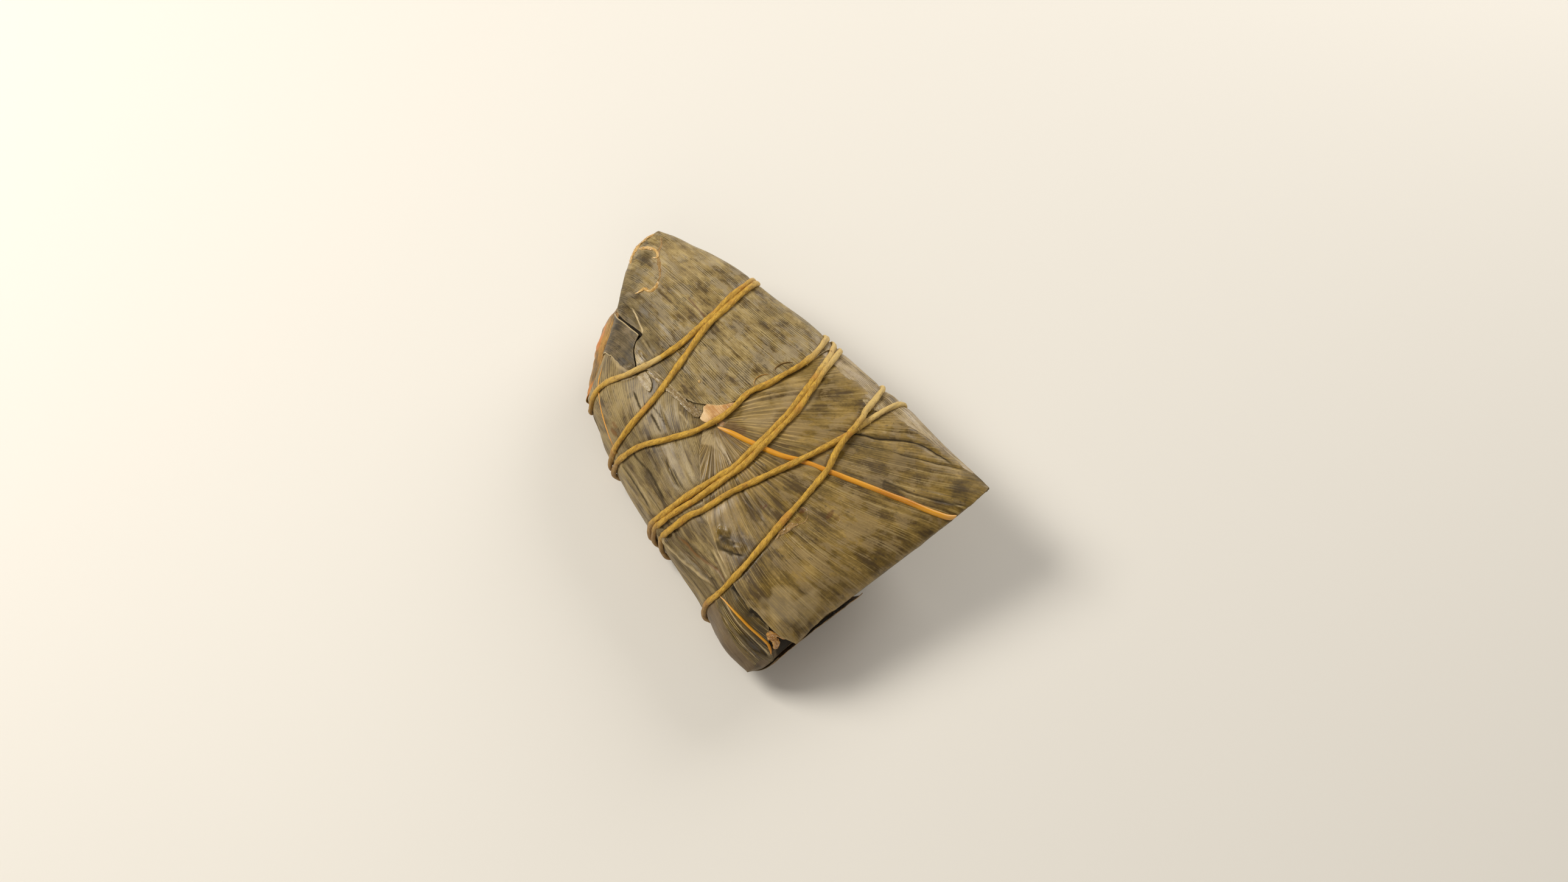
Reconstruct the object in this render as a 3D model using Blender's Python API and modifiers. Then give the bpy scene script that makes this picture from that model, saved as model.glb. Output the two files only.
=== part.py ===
"""A leaf-wrapped rice dumpling (zongzi), tied with one length of twine.

The parcel is a flat pillow with four folded corners: A at the far tip, B at the right tip, C
at the near left and D at the far left. A place on its skin is given by two shares. The first,
`across`, runs from the left edge (0) over the top to the right edge (1) and on underneath, back
to the left edge (2). The second, `along`, runs from the near edge (0) to the far edge (1).
Lengths are in millimetres until a mesh is made.
"""
import math

import bmesh
import bpy
import numpy as np
from mathutils import Vector

for item in list(bpy.data.objects):
    bpy.data.objects.remove(item, do_unlink=True)
PARCEL = bpy.data.collections.new("zongzi")
bpy.context.scene.collection.children.link(PARCEL)

MM = 0.001
CENTRE = (4.75, 11.83)        # middle of the finished parcel's box, in the plan

# Base colours
INNER = (0.20, 0.19, 0.12)
UPPER = (0.21, 0.20, 0.12)
FAN = (0.23, 0.21, 0.13)
SIDE = (0.19, 0.18, 0.12)
FOLDED = (0.16, 0.14, 0.10)
SHADED = (0.10, 0.07, 0.03)
FLAP = (0.12, 0.12, 0.10)
BAND = (0.33, 0.30, 0.22)
STRAW = (0.34, 0.26, 0.12)
ORANGE = (0.60, 0.32, 0.06)
STALK = (0.52, 0.36, 0.18)
FIBRE = (0.50, 0.38, 0.10)
LEAF_ROUGHNESS = 0.55
FIBRE_ROUGHNESS = 0.7

# Driving sizes, mm
CROWN = 37.5                  # top of the parcel at its middle
PRESS = 10.5                  # how far the soft base would reach below the table if unpressed
GAP = 0.35                    # clearance between neighbouring solids
LEAF = 0.6                    # an outer leaf, two layers pressed together
RIB = 1.0                     # height of the fan leaf's midrib
SCRAP = 0.5                   # the torn leaf stalk
TUCK = 0.9                    # how far the leaf tucked under the near edge stands off the base
CURL = (-0.2, -1.0, 1.4)      # how the fan leaf's free corner stands off
CURL_REACH = (0.15, 0.15)     # how much of the leaf curls, across it and along it
TWINE = 2.1                   # twine diameter
GROOVE = 3.9                  # how high the twine's bed stands over the table, underneath
GROOVE_FLAT = 3.0             # half width of that bed
GROOVE_SIDE = 7.6             # half width of the bed with its sloping sides
TWINE_PLAY = 0.12             # room under the twine where it lies on the leaves
TWINE_SLACK = 1.0             # room over it where it runs underneath
TABLE_GAP = 0.15              # least room between the twine and the table

# Swell of the pillow over and under its edges: (fullness, roundness) at its low and high side
TOP_ACROSS = ((2.3, 2.0), (5, 2.0))
TOP_ALONG = ((5, 2.2), (4, 2.2))
BASE_ACROSS = ((3.0, 2.2), (2.2, 1.2))
BASE_ALONG = ((3.2, 1.4), (2.6, 1.3))

# Folded corners and edges of the pillow: x, y, height above the table
CORNER_A = (14.5, 87.6, 29.0)
CORNER_B = (53.6, -56.8, 33.5)
CORNER_C = (-38.4, -60.9, 9.0)
CORNER_D = (-34.6, 50.9, 13.0)
LEFT_EDGE = [CORNER_C, (-41.4, -47.5, 12.0), (-40.0, -28.4, 13.0), (-40.8, -2.0, 13.0),
             (-39.2, 27.0, 13.0), (-36.8, 42.6, 13.0), CORNER_D]
RIGHT_EDGE = [CORNER_B, (46.0, -16.7, 34.5), (39.1, 16.0, 33.5), (30.2, 52.0, 32.0),
              (20.4, 76.8, 30.0), CORNER_A]
NEAR_EDGE = [CORNER_C, (-33.2, -63.4, 12.8), (-22.0, -63.4, 20.0), (8.9, -61.4, 27.0),
             (40.0, -59.0, 32.5), CORNER_B]
FAR_EDGE = [CORNER_D, (-24.5, 57.0, 20.0), (-12.4, 67.6, 25.5), (-2.5, 79.0, 27.0),
            (5.5, 85.0, 28.0), CORNER_A]

# The lower leaf that bulges out under the far left edge: its outer edge (x, y), its heights
# there, the stretch of the edge that it hangs from, and how far it is let in above and below
CORNER_LEAF = [(-34.8, 53.0), (-32.0, 56.3), (-28.2, 61.0), (-22.6, 67.0), (-16.0, 72.5),
               (-10.5, 73.5)]
CORNER_LEAF_HEIGHTS = (8.0, 12.0)
CORNER_LEAF_SPAN = (0.06, 0.50)
CORNER_LEAF_DROP = 2.0
CORNER_LEAF_LIFT = 1.2
CORNER_LEAF_TUCK = (0.965, 0.935)
CORNER_LEAF_FACES = (6, 8)

# The twine's passes over the top, right edge to left edge: across, along, lift over what it crosses
OVER_RIB = RIB + GAP
OVER_SCRAP = SCRAP + GAP
OVER_TWINE = TWINE + GAP
PASSES = [
    [(1.0, .742, 0), (.855, .726, 0), (.653, .735, 0), (.444, .769, 0), (.262, .830, 0),
     (.115, .915, 0), (.04, .950, 0), (0, .960, 0)],
    [(1.0, .720, 0), (.855, .706, 0), (.653, .715, 0), (.505, .722, 0), (.319, .725, 0),
     (.199, .733, 0), (.091, .748, 0), (0, .775, 0)],
    [(1.0, .511, 0), (.883, .482, 0), (.716, .498, 0), (.591, .527, 0), (.49, .532, OVER_SCRAP),
     (.414, .542, OVER_SCRAP), (.301, .574, 0), (.203, .620, 0), (.078, .693, 0), (0, .748, 0)],
    [(1.0, .489, 0), (.872, .448, 0), (.676, .426, 0), (.60, .424, 0), (.469, .424, OVER_RIB),
     (.35, .427, 0), (.321, .427, 0), (.139, .468, 0), (.012, .512, 0), (0, .522, 0)],
    [(1.0, .463, 0), (.897, .436, 0), (.694, .405, 0), (.60, .402, 0), (.483, .401, OVER_RIB),
     (.36, .403, 0), (.169, .434, 0), (.045, .475, 0), (0, .497, 0)],
    [(1.0, .330, 0), (.90, .306, .3), (.845, .293, OVER_TWINE), (.78, .284, OVER_TWINE),
     (.72, .277, OVER_TWINE), (.66, .266, .8), (.61, .252, OVER_RIB), (.54, .245, 0),
     (.372, .228, 0), (.214, .208, 0), (.108, .201, 0), (0, .216, 0)],
    [(1.0, .266, 0), (.922, .279, 0), (.839, .283, 0), (.763, .286, 0), (.658, .298, 0),
     (.558, .313, OVER_RIB), (.46, .335, 0), (.393, .350, 0), (.262, .380, 0), (.157, .402, 0),
     (.086, .430, 0), (0, .462, 0)],
]
FAR_END = (1.09, .785)        # where the twine starts, under the right edge
NEAR_END = (1.88, .440)       # where it ends, under the left edge
FAR_KNOT = (1.15, .805)
NEAR_KNOT = (1.835, .430)
KNOT = (3.0, 2.2, 1.3)        # half sizes of a knot: along the twine, across it, height
KNOT_LIFT = 0.55              # room under a knot

REACH, TWINE_REACH = 0.012, 0.02    # shares over which a normal is averaged, leaf and twine
SLIGHT = 1e-9                 # keeps a share just short of the next side
WELD = 0.00002                # m, joins the top and base sheets at their edges
ACROSS_FACES = 24
ALONG_FACES = 41
UNDER_SHARES = np.linspace(0.08, 0.92, 12)      # guide points of the twine underneath
LONGEST, SHORTEST = 9.0, 2.2  # stretches between the twine's points
SHARPEST = 10                 # degrees it turns before it needs another point
EDGE_CROWDING = 0.75          # 0 spaces the faces evenly along the pillow, 1 crowds them to the ends


def smooth_line(points):
    """A dense Catmull-Rom curve through the points, and the share of its length at each."""
    points = np.array(points, float)
    ends = np.vstack([2 * points[0] - points[1], points, 2 * points[-1] - points[-2]])
    steps = np.arange(0, 1, 0.05)[:, None]
    dense = []
    for a, b, c, d in zip(ends, ends[1:], ends[2:], ends[3:]):
        dense.append(0.5 * (2 * b + (c - a) * steps + (2 * a - 5 * b + 4 * c - d) * steps ** 2
                            + (3 * b - a - 3 * c + d) * steps ** 3))
    dense = np.vstack([*dense, points[-1]])
    lengths = np.linalg.norm(np.diff(dense[:, :2], axis=0), axis=1)
    share = np.concatenate([[0], np.cumsum(lengths)]) / lengths.sum()
    return share, dense


def on_line(line, share):
    """Points of a smooth line at the given shares of its length."""
    shares, dense = line
    return np.stack([np.interp(share, shares, column) for column in dense.T], axis=-1)


def patch(left, right, near, far, across, along):
    """Coons patch: points inside four border lines, at shares across and along."""
    a, b = on_line(left, along), on_line(right, along)
    c, d = on_line(near, across), on_line(far, across)
    s, t = across[..., None], along[..., None]
    corners = ((1 - s) * (1 - t) * near[1][0] + s * (1 - t) * near[1][-1]
               + (1 - s) * t * far[1][0] + s * t * far[1][-1])
    return (1 - s) * a + s * b + (1 - t) * c + t * d - corners


EDGES = [smooth_line(edge) for edge in (LEFT_EDGE, RIGHT_EDGE, NEAR_EDGE, FAR_EDGE)]


def bulge(share, low, high):
    """0 at both edges and 1 in the middle; low and high are (fullness, roundness) per side."""
    side = 2 * share - 1
    full = np.where(side < 0, low[0], high[0])
    round_off = np.where(side < 0, low[1], high[1])
    return np.maximum(0, 1 - np.abs(side) ** full) ** (1 / round_off)


def under_lines():
    """Plan ends of the twine's stretches underneath, each from a left edge to a right edge."""
    lines = []
    for last, following in zip(PASSES, PASSES[1:]):
        lines.append([last[-1][:2], following[0][:2]])
    lines.append([PASSES[-1][-1][:2], (2 - NEAR_KNOT[0], NEAR_KNOT[1])])
    shares = np.array(lines)
    plan = patch(*EDGES, shares[..., 0], shares[..., 1])
    return plan[..., :2]


def bed_height(plan):
    """Height of the twine's bed underneath, at plan points."""
    height = np.zeros(plan.shape[:-1])
    for start, end in under_lines():
        run = end - start
        share = np.clip(((plan - start) @ run) / (run @ run), 0, 1)
        distance = np.linalg.norm(plan - start - share[..., None] * run, axis=-1)
        slope = np.clip((GROOVE_SIDE - distance) / (GROOVE_SIDE - GROOVE_FLAT), 0, 1)
        height = np.maximum(height, GROOVE * slope ** 2 * (3 - 2 * slope))
    return height


def skin(across, along):
    """Points of the parcel's skin, for across from 0 to 2 and along from 0 to 1."""
    across = np.mod(across, 2.0)
    top = across <= 1
    share = np.where(top, across, 2 - across)
    edge = patch(*EDGES, share, along)
    rise = bulge(share, *TOP_ACROSS) * bulge(along, *TOP_ALONG)
    drop = bulge(share, *BASE_ACROSS) * bulge(along, *BASE_ALONG)
    over = edge[..., 2] + (CROWN - edge[..., 2]) * rise
    under = np.maximum(edge[..., 2] - (edge[..., 2] + PRESS) * drop, 0)
    under = np.maximum(under, np.minimum(bed_height(edge[..., :2]), edge[..., 2]))
    points = edge.copy()
    points[..., 2] = np.where(top, over, under)
    return points


def eased(turn):
    """The share across or along for a turn that advances evenly round the rounded edges."""
    side = np.mod(turn, 1.0)
    return np.floor(turn) + 0.5 - 0.5 * np.cos(np.pi * side)


def turn_of(share):
    """The turn that eased() takes to this share."""
    share = np.asarray(share, float)
    side = share - np.floor(share)
    return np.floor(share) + np.arccos(1 - 2 * side) / np.pi


def lifted(across, along, lift, reach=REACH):
    """Skin points moved outwards by lift, along a normal averaged over a short reach."""
    low = np.clip(along - reach, 0.001, 0.999)
    high = np.clip(along + reach, 0.001, 0.999)
    over = skin(across + reach, along) - skin(across - reach, along)
    up = skin(across, high) - skin(across, low)
    normal = np.cross(over, up)
    normal /= np.linalg.norm(normal, axis=-1, keepdims=True)
    return skin(across, along) + normal * np.asarray(lift)[..., None]


def placed(points):
    """Plan millimetres to metres about the parcel's own origin."""
    return (np.asarray(points) - (*CENTRE, 0)) * MM


def colour_material(name, colour, roughness):
    material = bpy.data.materials.new(name)
    material.use_nodes = True
    shader = material.node_tree.nodes["Principled BSDF"]
    shader.inputs["Base Color"].default_value = (*colour, 1)
    shader.inputs["Roughness"].default_value = roughness
    return material


def add_object(name, data, colour, roughness=LEAF_ROUGHNESS):
    part = bpy.data.objects.new(name, data)
    PARCEL.objects.link(part)
    data.materials.append(colour_material(name, colour, roughness))
    return part


def grid_mesh(across_faces, along_faces, place, flip=False):
    """A bmesh grid whose points go through place(s, t), with s and t from 0 to 1."""
    bm = bmesh.new()
    bmesh.ops.create_grid(bm, x_segments=across_faces, y_segments=along_faces, size=0.5)
    shares = np.array([(v.co.x + 0.5, v.co.y + 0.5) for v in bm.verts])
    for vertex, point in zip(bm.verts, placed(place(shares[:, 0], shares[:, 1]))):
        vertex.co = point
    if flip:
        bmesh.ops.reverse_faces(bm, faces=bm.faces)
    return bm


def between(ends, share):
    return ends[0] + (ends[1] - ends[0]) * share


def crowded(share):
    return (1 - EDGE_CROWDING) * share + EDGE_CROWDING * eased(share * (1 - SLIGHT))


def make_parcel():
    """The rice block in its inner leaves: a top and a base sheet welded at their edges."""
    top = grid_mesh(ACROSS_FACES, ALONG_FACES,
                    lambda s, t: skin(eased(s * (1 - SLIGHT)), crowded(t)))
    base = grid_mesh(ACROSS_FACES, ALONG_FACES,
                     lambda s, t: skin(2 - eased(SLIGHT + s * (1 - 2 * SLIGHT)), crowded(t)),
                     flip=True)
    mesh = bpy.data.meshes.new("parcel")
    base.to_mesh(mesh)
    top.from_mesh(mesh)
    bmesh.ops.remove_doubles(top, verts=top.verts, dist=WELD)
    top.to_mesh(mesh)
    mesh.shade_smooth()
    add_object("parcel", mesh, INNER)


def add_sheet(name, borders, faces, lift, thickness, colour, curl=(0, 0, 0)):
    """A thin leaf laid on the skin inside four borders: left, right, near and far.

    curl moves its near left corner off the skin, by x, y and z.
    """
    lines = [smooth_line(turn_of(border)) for border in borders]

    def place(s, t):
        shares = eased(patch(*lines, s, t))
        share = np.clip(1 - s / CURL_REACH[0], 0, 1) * np.clip(1 - t / CURL_REACH[1], 0, 1)
        off = share[:, None] * np.array(curl)
        return lifted(shares[:, 0], shares[:, 1], np.full(len(s), lift)) + off

    mesh = bpy.data.meshes.new(name)
    grid_mesh(*faces, place).to_mesh(mesh)
    mesh.shade_smooth()
    sheet = add_object(name, mesh, colour)
    solidify = sheet.modifiers.new("thickness", 'SOLIDIFY')
    solidify.thickness = thickness * MM
    solidify.offset = 1
    return sheet


def make_leaves():
    first = GAP
    second = GAP + LEAF + GAP
    upper_near = [(.405, .592), (.484, .562), (.591, .529), (.73, .497), (.843, .479), (1.03, .470)]
    add_sheet("upper_leaf", (
        [(.405, .592), (.372, .64), (.340, .725), (.330, .80), (.365, .850), (.415, .885),
         (.425, .930), (.430, .985)],
        [(1.03, .470), (1.03, .955)],
        upper_near,
        [(.430, .985), (.80, .98), (1.03, .955)]), (11, 12), first, LEAF, UPPER)
    add_sheet("fan_leaf", (
        [(.190, .010), (.136, .070), (.122, .219), (.137, .302), (.170, .384), (.238, .471),
         (.315, .545), (.392, .582)],
        [(.955, .010), (.928, .17), (.907, .29), (.910, .38), (.917, .457)],
        [(.190, .010), (.955, .010)],
        [(.392, .582), (.480, .552), (.587, .519), (.726, .487), (.839, .469), (.917, .457)]),
        (14, 15), first, LEAF, FAN, CURL)
    add_sheet("under_leaf", (
        [(1.70, .050), (1.69, .004)],
        [(1.87, .060), (1.88, .004)],
        [(1.70, .050), (1.87, .060)],
        [(1.69, .004), (1.88, .004)]), (5, 3), TUCK, LEAF, SHADED)
    add_sheet("left_leaf", (
        [(-.03, .235), (-.03, .925)],
        [(.100, .235), (.125, .302), (.158, .384), (.226, .471), (.303, .556), (.360, .60),
         (.358, .64), (.325, .725), (.296, .80), (.235, .835)],
        [(-.03, .235), (.100, .235)],
        [(-.03, .925), (.05, .92), (.235, .835)]), (10, 14), first, LEAF, SIDE)
    add_sheet("end_leaf", (
        [(-.012, .03), (-.03, .200)],
        [(.115, .03), (.095, .10), (.072, .185)],
        [(-.012, .03), (.115, .03)],
        [(-.03, .200), (.072, .185)]), (6, 6), first, LEAF, FOLDED)
    add_sheet("corner_flap", (
        [(.236, .852), (.212, .906), (.208, .975)],
        [(.368, .880), (.362, .920), (.385, .975)],
        [(.236, .852), (.290, .870), (.368, .880)],
        [(.208, .975), (.385, .975)]), (4, 5), first, LEAF, FLAP)
    add_sheet("edge_leaf", (
        [(.965, .03), (.935, .17), (.915, .29), (.918, .38), (.925, .452)],
        [(1.03, .03), (1.03, .452)],
        [(.965, .03), (1.03, .03)],
        [(.925, .452), (1.03, .452)]), (4, 12), first, LEAF, BAND)
    add_sheet("midrib", (
        [(.835, .020), (.771, .048), (.705, .125), (.622, .222), (.554, .303), (.501, .358),
         (.447, .440), (.380, .530)],
        [(.855, .024), (.795, .052), (.729, .130), (.646, .229), (.578, .311), (.523, .366),
         (.469, .446), (.396, .537)],
        [(.835, .020), (.855, .024)],
        [(.380, .530), (.396, .537)]), (2, 16), second, RIB, ORANGE)
    add_sheet("leaf_stalk", (
        [(.375, .553), (.400, .575)],
        [(.470, .515), (.480, .545)],
        [(.375, .553), (.470, .515)],
        [(.400, .575), (.480, .545)]), (4, 3), second, SCRAP, STALK)


def make_corner_leaf():
    """The lower leaf that bulges out under the far left edge."""
    outer = smooth_line(CORNER_LEAF)

    def place(s, t):
        across = between(CORNER_LEAF_SPAN, t)
        top = skin(across, np.ones(len(s))) - (0, 0, CORNER_LEAF_DROP)
        rim = np.column_stack([on_line(outer, t), between(CORNER_LEAF_HEIGHTS, t)])
        tuck = lifted(1.98 - across, between(CORNER_LEAF_TUCK, t), np.full(len(s), CORNER_LEAF_LIFT))
        turn = np.pi * s[:, None]
        ends = (top + tuck) / 2
        return ends + (top - tuck) / 2 * np.cos(turn) + (rim - ends) * np.sin(turn)

    mesh = bpy.data.meshes.new("corner_leaf")
    grid_mesh(*CORNER_LEAF_FACES, place, flip=True).to_mesh(mesh)
    mesh.shade_smooth()
    sheet = add_object("corner_leaf", mesh, STRAW)
    solidify = sheet.modifiers.new("thickness", 'SOLIDIFY')
    solidify.thickness = LEAF * MM
    solidify.offset = 1


def twine_route():
    """Guide points of the twine: across (falling by 2 each turn), along and lift."""
    lay = GAP + LEAF + GAP + TWINE / 2 + TWINE_PLAY
    bare = GAP + TWINE / 2 + TWINE_SLACK
    guides = [(FAR_END[0], FAR_END[1], bare)]
    for turn, run in enumerate(PASSES):
        guides += [(across - 2 * turn, along, lay + extra) for across, along, extra in run]
        last = run[-1]
        if turn + 1 < len(PASSES):
            following = PASSES[turn + 1][0]
            for share in UNDER_SHARES:
                along = between((last[1], following[1]), share)
                free = UNDER_SHARES[0] < share < UNDER_SHARES[-1]
                guides.append((-share - 2 * turn, along, bare if free else lay))
    guides.append((NEAR_END[0] - 2 * len(PASSES), NEAR_END[1], bare))
    return guides


def twine_points():
    """The route on the skin, thinned where it runs straight."""
    _, dense = smooth_line([(turn_of(across), along, lift) for across, along, lift in twine_route()])
    points = lifted(eased(dense[:, 0]), dense[:, 1], dense[:, 2], reach=TWINE_REACH)
    points[:, 2] = np.maximum(points[:, 2], TWINE / 2 + TABLE_GAP)
    kept = [points[0]]
    for i in range(1, len(points) - 1):
        step = points[i] - kept[-1]
        ahead = points[i + 1] - points[i]
        turn = math.degrees(Vector(step).angle(Vector(ahead), 0))
        length = np.linalg.norm(step)
        if length > LONGEST or (turn > SHARPEST and length > SHORTEST):
            kept.append(points[i])
    return [*kept, points[-1]]


def make_twine():
    curve = bpy.data.curves.new("twine", 'CURVE')
    curve.dimensions = '3D'
    curve.bevel_depth = TWINE / 2 * MM
    curve.bevel_resolution = 1
    curve.use_fill_caps = True
    points = placed(twine_points())
    spline = curve.splines.new('POLY')
    spline.points.add(len(points) - 1)
    for control, point in zip(spline.points, points):
        control.co = (*point, 1)
    add_object("twine", curve, FIBRE, FIBRE_ROUGHNESS)


def make_knot(name, place):
    bm = bmesh.new()
    bmesh.ops.create_icosphere(bm, subdivisions=2, radius=MM)
    mesh = bpy.data.meshes.new(name)
    bm.to_mesh(mesh)
    mesh.shade_smooth()
    knot = add_object(name, mesh, FIBRE, FIBRE_ROUGHNESS)
    centre = lifted(np.array([place[0]]), np.array([place[1]]), np.array([KNOT_LIFT + KNOT[2]]))[0]
    out = centre - skin(np.array([place[0]]), np.array([place[1]]))[0]
    knot.rotation_euler = Vector(out).to_track_quat('Z', 'Y').to_euler()
    knot.location = placed(centre)
    knot.scale = KNOT


make_parcel()
make_leaves()
make_corner_leaf()
make_twine()
make_knot("far_knot", FAR_KNOT)
make_knot("near_knot", NEAR_KNOT)
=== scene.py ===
"""Looks for a leaf-wrapped rice dumpling (zongzi), tied with one length of twine.

The pillow shape and the twine's route repeat the CAD source. A place on the skin is two shares:
`across` runs from the left edge (0) over the top to the right edge (1) and on underneath to the
left edge again (2), and `along` from the near edge (0) to the far edge (1). Lengths are in mm.
"""
import math

import bpy
import numpy as np
from mathutils import Matrix, Vector


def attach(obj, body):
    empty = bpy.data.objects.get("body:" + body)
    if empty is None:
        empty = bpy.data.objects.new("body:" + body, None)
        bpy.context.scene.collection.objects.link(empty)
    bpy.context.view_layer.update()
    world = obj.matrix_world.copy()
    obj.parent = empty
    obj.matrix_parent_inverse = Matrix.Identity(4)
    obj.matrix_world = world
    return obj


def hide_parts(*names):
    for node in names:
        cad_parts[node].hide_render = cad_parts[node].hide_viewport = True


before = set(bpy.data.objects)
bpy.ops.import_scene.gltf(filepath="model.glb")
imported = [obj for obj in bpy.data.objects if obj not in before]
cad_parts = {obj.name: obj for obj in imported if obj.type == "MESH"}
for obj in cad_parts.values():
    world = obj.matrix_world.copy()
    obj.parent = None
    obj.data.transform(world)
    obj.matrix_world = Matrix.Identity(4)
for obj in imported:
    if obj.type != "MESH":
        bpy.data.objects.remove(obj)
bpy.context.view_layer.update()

MM = 0.001
CENTRE = (4.75, 11.83)
CROWN = 37.5                    # height of the top's middle
PRESS = 10.5                    # how far the underside would bulge below the table
GROOVE, GROOVE_FLAT, GROOVE_SIDE = 3.9, 3.0, 7.6   # bed round the twine underneath: height, half widths
FLOOR_GAP = 0.03

# The four edges of the pillow, x, y and height
A, B, C, D = (14.5, 87.6, 29.0), (53.6, -56.8, 33.5), (-38.4, -60.9, 9.0), (-34.6, 50.9, 13.0)
LEFT_EDGE = [C, (-41.4, -47.5, 12.0), (-40.0, -28.4, 13.0), (-40.8, -2.0, 13.0), (-39.2, 27.0, 13.0),
             (-36.8, 42.6, 13.0), D]
RIGHT_EDGE = [B, (46.0, -16.7, 34.5), (39.1, 16.0, 33.5), (30.2, 52.0, 32.0), (20.4, 76.8, 30.0), A]
NEAR_EDGE = [C, (-33.2, -63.4, 12.8), (-22.0, -63.4, 20.0), (8.9, -61.4, 27.0), (40.0, -59.0, 32.5), B]
FAR_EDGE = [D, (-24.5, 57.0, 20.0), (-12.4, 67.6, 25.5), (-2.5, 79.0, 27.0), (5.5, 85.0, 28.0), A]

# Outer edge of the leaf that bulges out under the far left edge, x and y
CORNER_LEAF = [(-34.8, 53.0), (-32.0, 56.3), (-28.2, 61.0), (-22.6, 67.0), (-16.0, 72.5), (-10.5, 73.5)]

# A leaf's thickness, and how far the leaf layers lie over the skin
LEAF = 0.28
LOW, MIDDLE, HIGH = 0.12, 0.45, 0.78
TOP = HIGH + LEAF
ON_FAN = MIDDLE + LEAF - 0.05

# The twine's passes over the top, right edge to left edge: across, along, lift over what it crosses
TWINE, TWINE_FLAT = 2.15, 0.82
OVER_RIB, OVER_SCRAP, OVER_TWINE = 0.7, 0.5, 1.45
PASSES = [
    [(1, .738, 0), (.855, .722, 0), (.653, .731, 0), (.444, .769, 0), (.262, .83, 0), (.115, .915, 0),
     (.04, .95, 0), (0, .96, 0)],
    [(1, .724, 0), (.855, .709, 0), (.653, .718, 0), (.505, .722, 0), (.319, .725, 0), (.199, .733, 0),
     (.091, .748, 0), (0, .775, 0)],
    [(1, .511, 0), (.883, .482, 0), (.716, .498, 0), (.591, .527, 0), (.49, .532, OVER_SCRAP),
     (.414, .542, OVER_SCRAP), (.301, .574, 0), (.203, .62, 0), (.078, .693, 0), (0, .748, 0)],
    [(1, .487, 0), (.872, .444, 0), (.676, .421, 0), (.6, .419, 0), (.469, .418, OVER_RIB),
     (.35, .422, 0), (.321, .424, 0), (.139, .464, 0), (.012, .51, 0), (0, .52, 0)],
    [(1, .465, 0), (.897, .439, 0), (.694, .409, 0), (.6, .407, 0), (.483, .406, OVER_RIB),
     (.36, .408, 0), (.169, .436, 0), (.045, .477, 0), (0, .499, 0)],
    [(1, .33, 0), (.9, .306, .3), (.845, .293, OVER_TWINE), (.78, .284, OVER_TWINE),
     (.72, .277, OVER_TWINE), (.66, .266, .8), (.61, .252, OVER_RIB), (.54, .245, 0), (.372, .228, 0),
     (.214, .208, 0), (.108, .201, 0), (0, .216, 0)],
    [(1, .266, 0), (.922, .279, 0), (.839, .283, 0), (.763, .286, 0), (.658, .298, 0),
     (.558, .313, OVER_RIB), (.46, .335, 0), (.393, .35, 0), (.262, .38, 0), (.157, .402, 0),
     (.086, .43, 0), (0, .462, 0)]]
FAR_END, NEAR_END = (1.09, .785), (1.88, .44)
FAR_KNOT, NEAR_KNOT = (1.15, .805), (1.835, .43)
KNOT = (3.0, 2.2, 1.3)


# ---------------------------------------------------------------- the pillow

def smooth_line(points):
    """A dense Catmull-Rom curve through the points, and the share of its length at each."""
    points = np.array(points, float)
    ends = np.vstack([2 * points[0] - points[1], points, 2 * points[-1] - points[-2]])
    steps = np.arange(0, 1, 0.05)[:, None]
    dense = [0.5 * (2 * b + (c - a) * steps + (2 * a - 5 * b + 4 * c - d) * steps ** 2
                    + (3 * b - a - 3 * c + d) * steps ** 3)
             for a, b, c, d in zip(ends, ends[1:], ends[2:], ends[3:])]
    dense = np.vstack([*dense, points[-1]])
    far = distances(dense[:, :2])
    return far / far[-1], dense


def distances(points):
    """How far along a line each of its points is."""
    return np.concatenate([[0], np.cumsum(np.linalg.norm(np.diff(points, axis=0), axis=1))])


def on_line(line, share):
    """Points of a smooth line at the given shares of its length."""
    shares, dense = line
    return np.stack([np.interp(share, shares, column) for column in dense.T], axis=-1)


def patch(left, right, near, far, across, along):
    """Coons patch: points inside four border lines, at shares across and along."""
    a, b = on_line(left, along), on_line(right, along)
    c, d = on_line(near, across), on_line(far, across)
    s, t = across[..., None], along[..., None]
    corners = ((1 - s) * (1 - t) * near[1][0] + s * (1 - t) * near[1][-1]
               + (1 - s) * t * far[1][0] + s * t * far[1][-1])
    return (1 - s) * a + s * b + (1 - t) * c + t * d - corners


EDGES = [smooth_line(edge) for edge in (LEFT_EDGE, RIGHT_EDGE, NEAR_EDGE, FAR_EDGE)]


def bulge(share, low, high):
    """0 at both edges and 1 in the middle; low and high are (fullness, roundness) per side."""
    side = 2 * share - 1
    full = np.where(side < 0, low[0], high[0])
    round_off = np.where(side < 0, low[1], high[1])
    return np.maximum(0, 1 - np.abs(side) ** full) ** (1 / round_off)


def under_lines():
    """Plan ends of the twine's stretches underneath, each from a left edge to a right edge."""
    lines = [(last[-1][:2], following[0][:2]) for last, following in zip(PASSES, PASSES[1:])]
    lines.append((PASSES[-1][-1][:2], (2 - NEAR_KNOT[0], NEAR_KNOT[1])))
    shares = np.array(lines)
    return patch(*EDGES, shares[..., 0], shares[..., 1])[..., :2]


def bed_height(plan):
    """Height of the twine's bed underneath, at plan points."""
    height = np.zeros(plan.shape[:-1])
    for start, end in under_lines():
        run = end - start
        share = np.clip(((plan - start) @ run) / (run @ run), 0, 1)
        distance = np.linalg.norm(plan - start - share[..., None] * run, axis=-1)
        slope = np.clip((GROOVE_SIDE - distance) / (GROOVE_SIDE - GROOVE_FLAT), 0, 1)
        height = np.maximum(height, GROOVE * slope ** 2 * (3 - 2 * slope))
    return height


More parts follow.
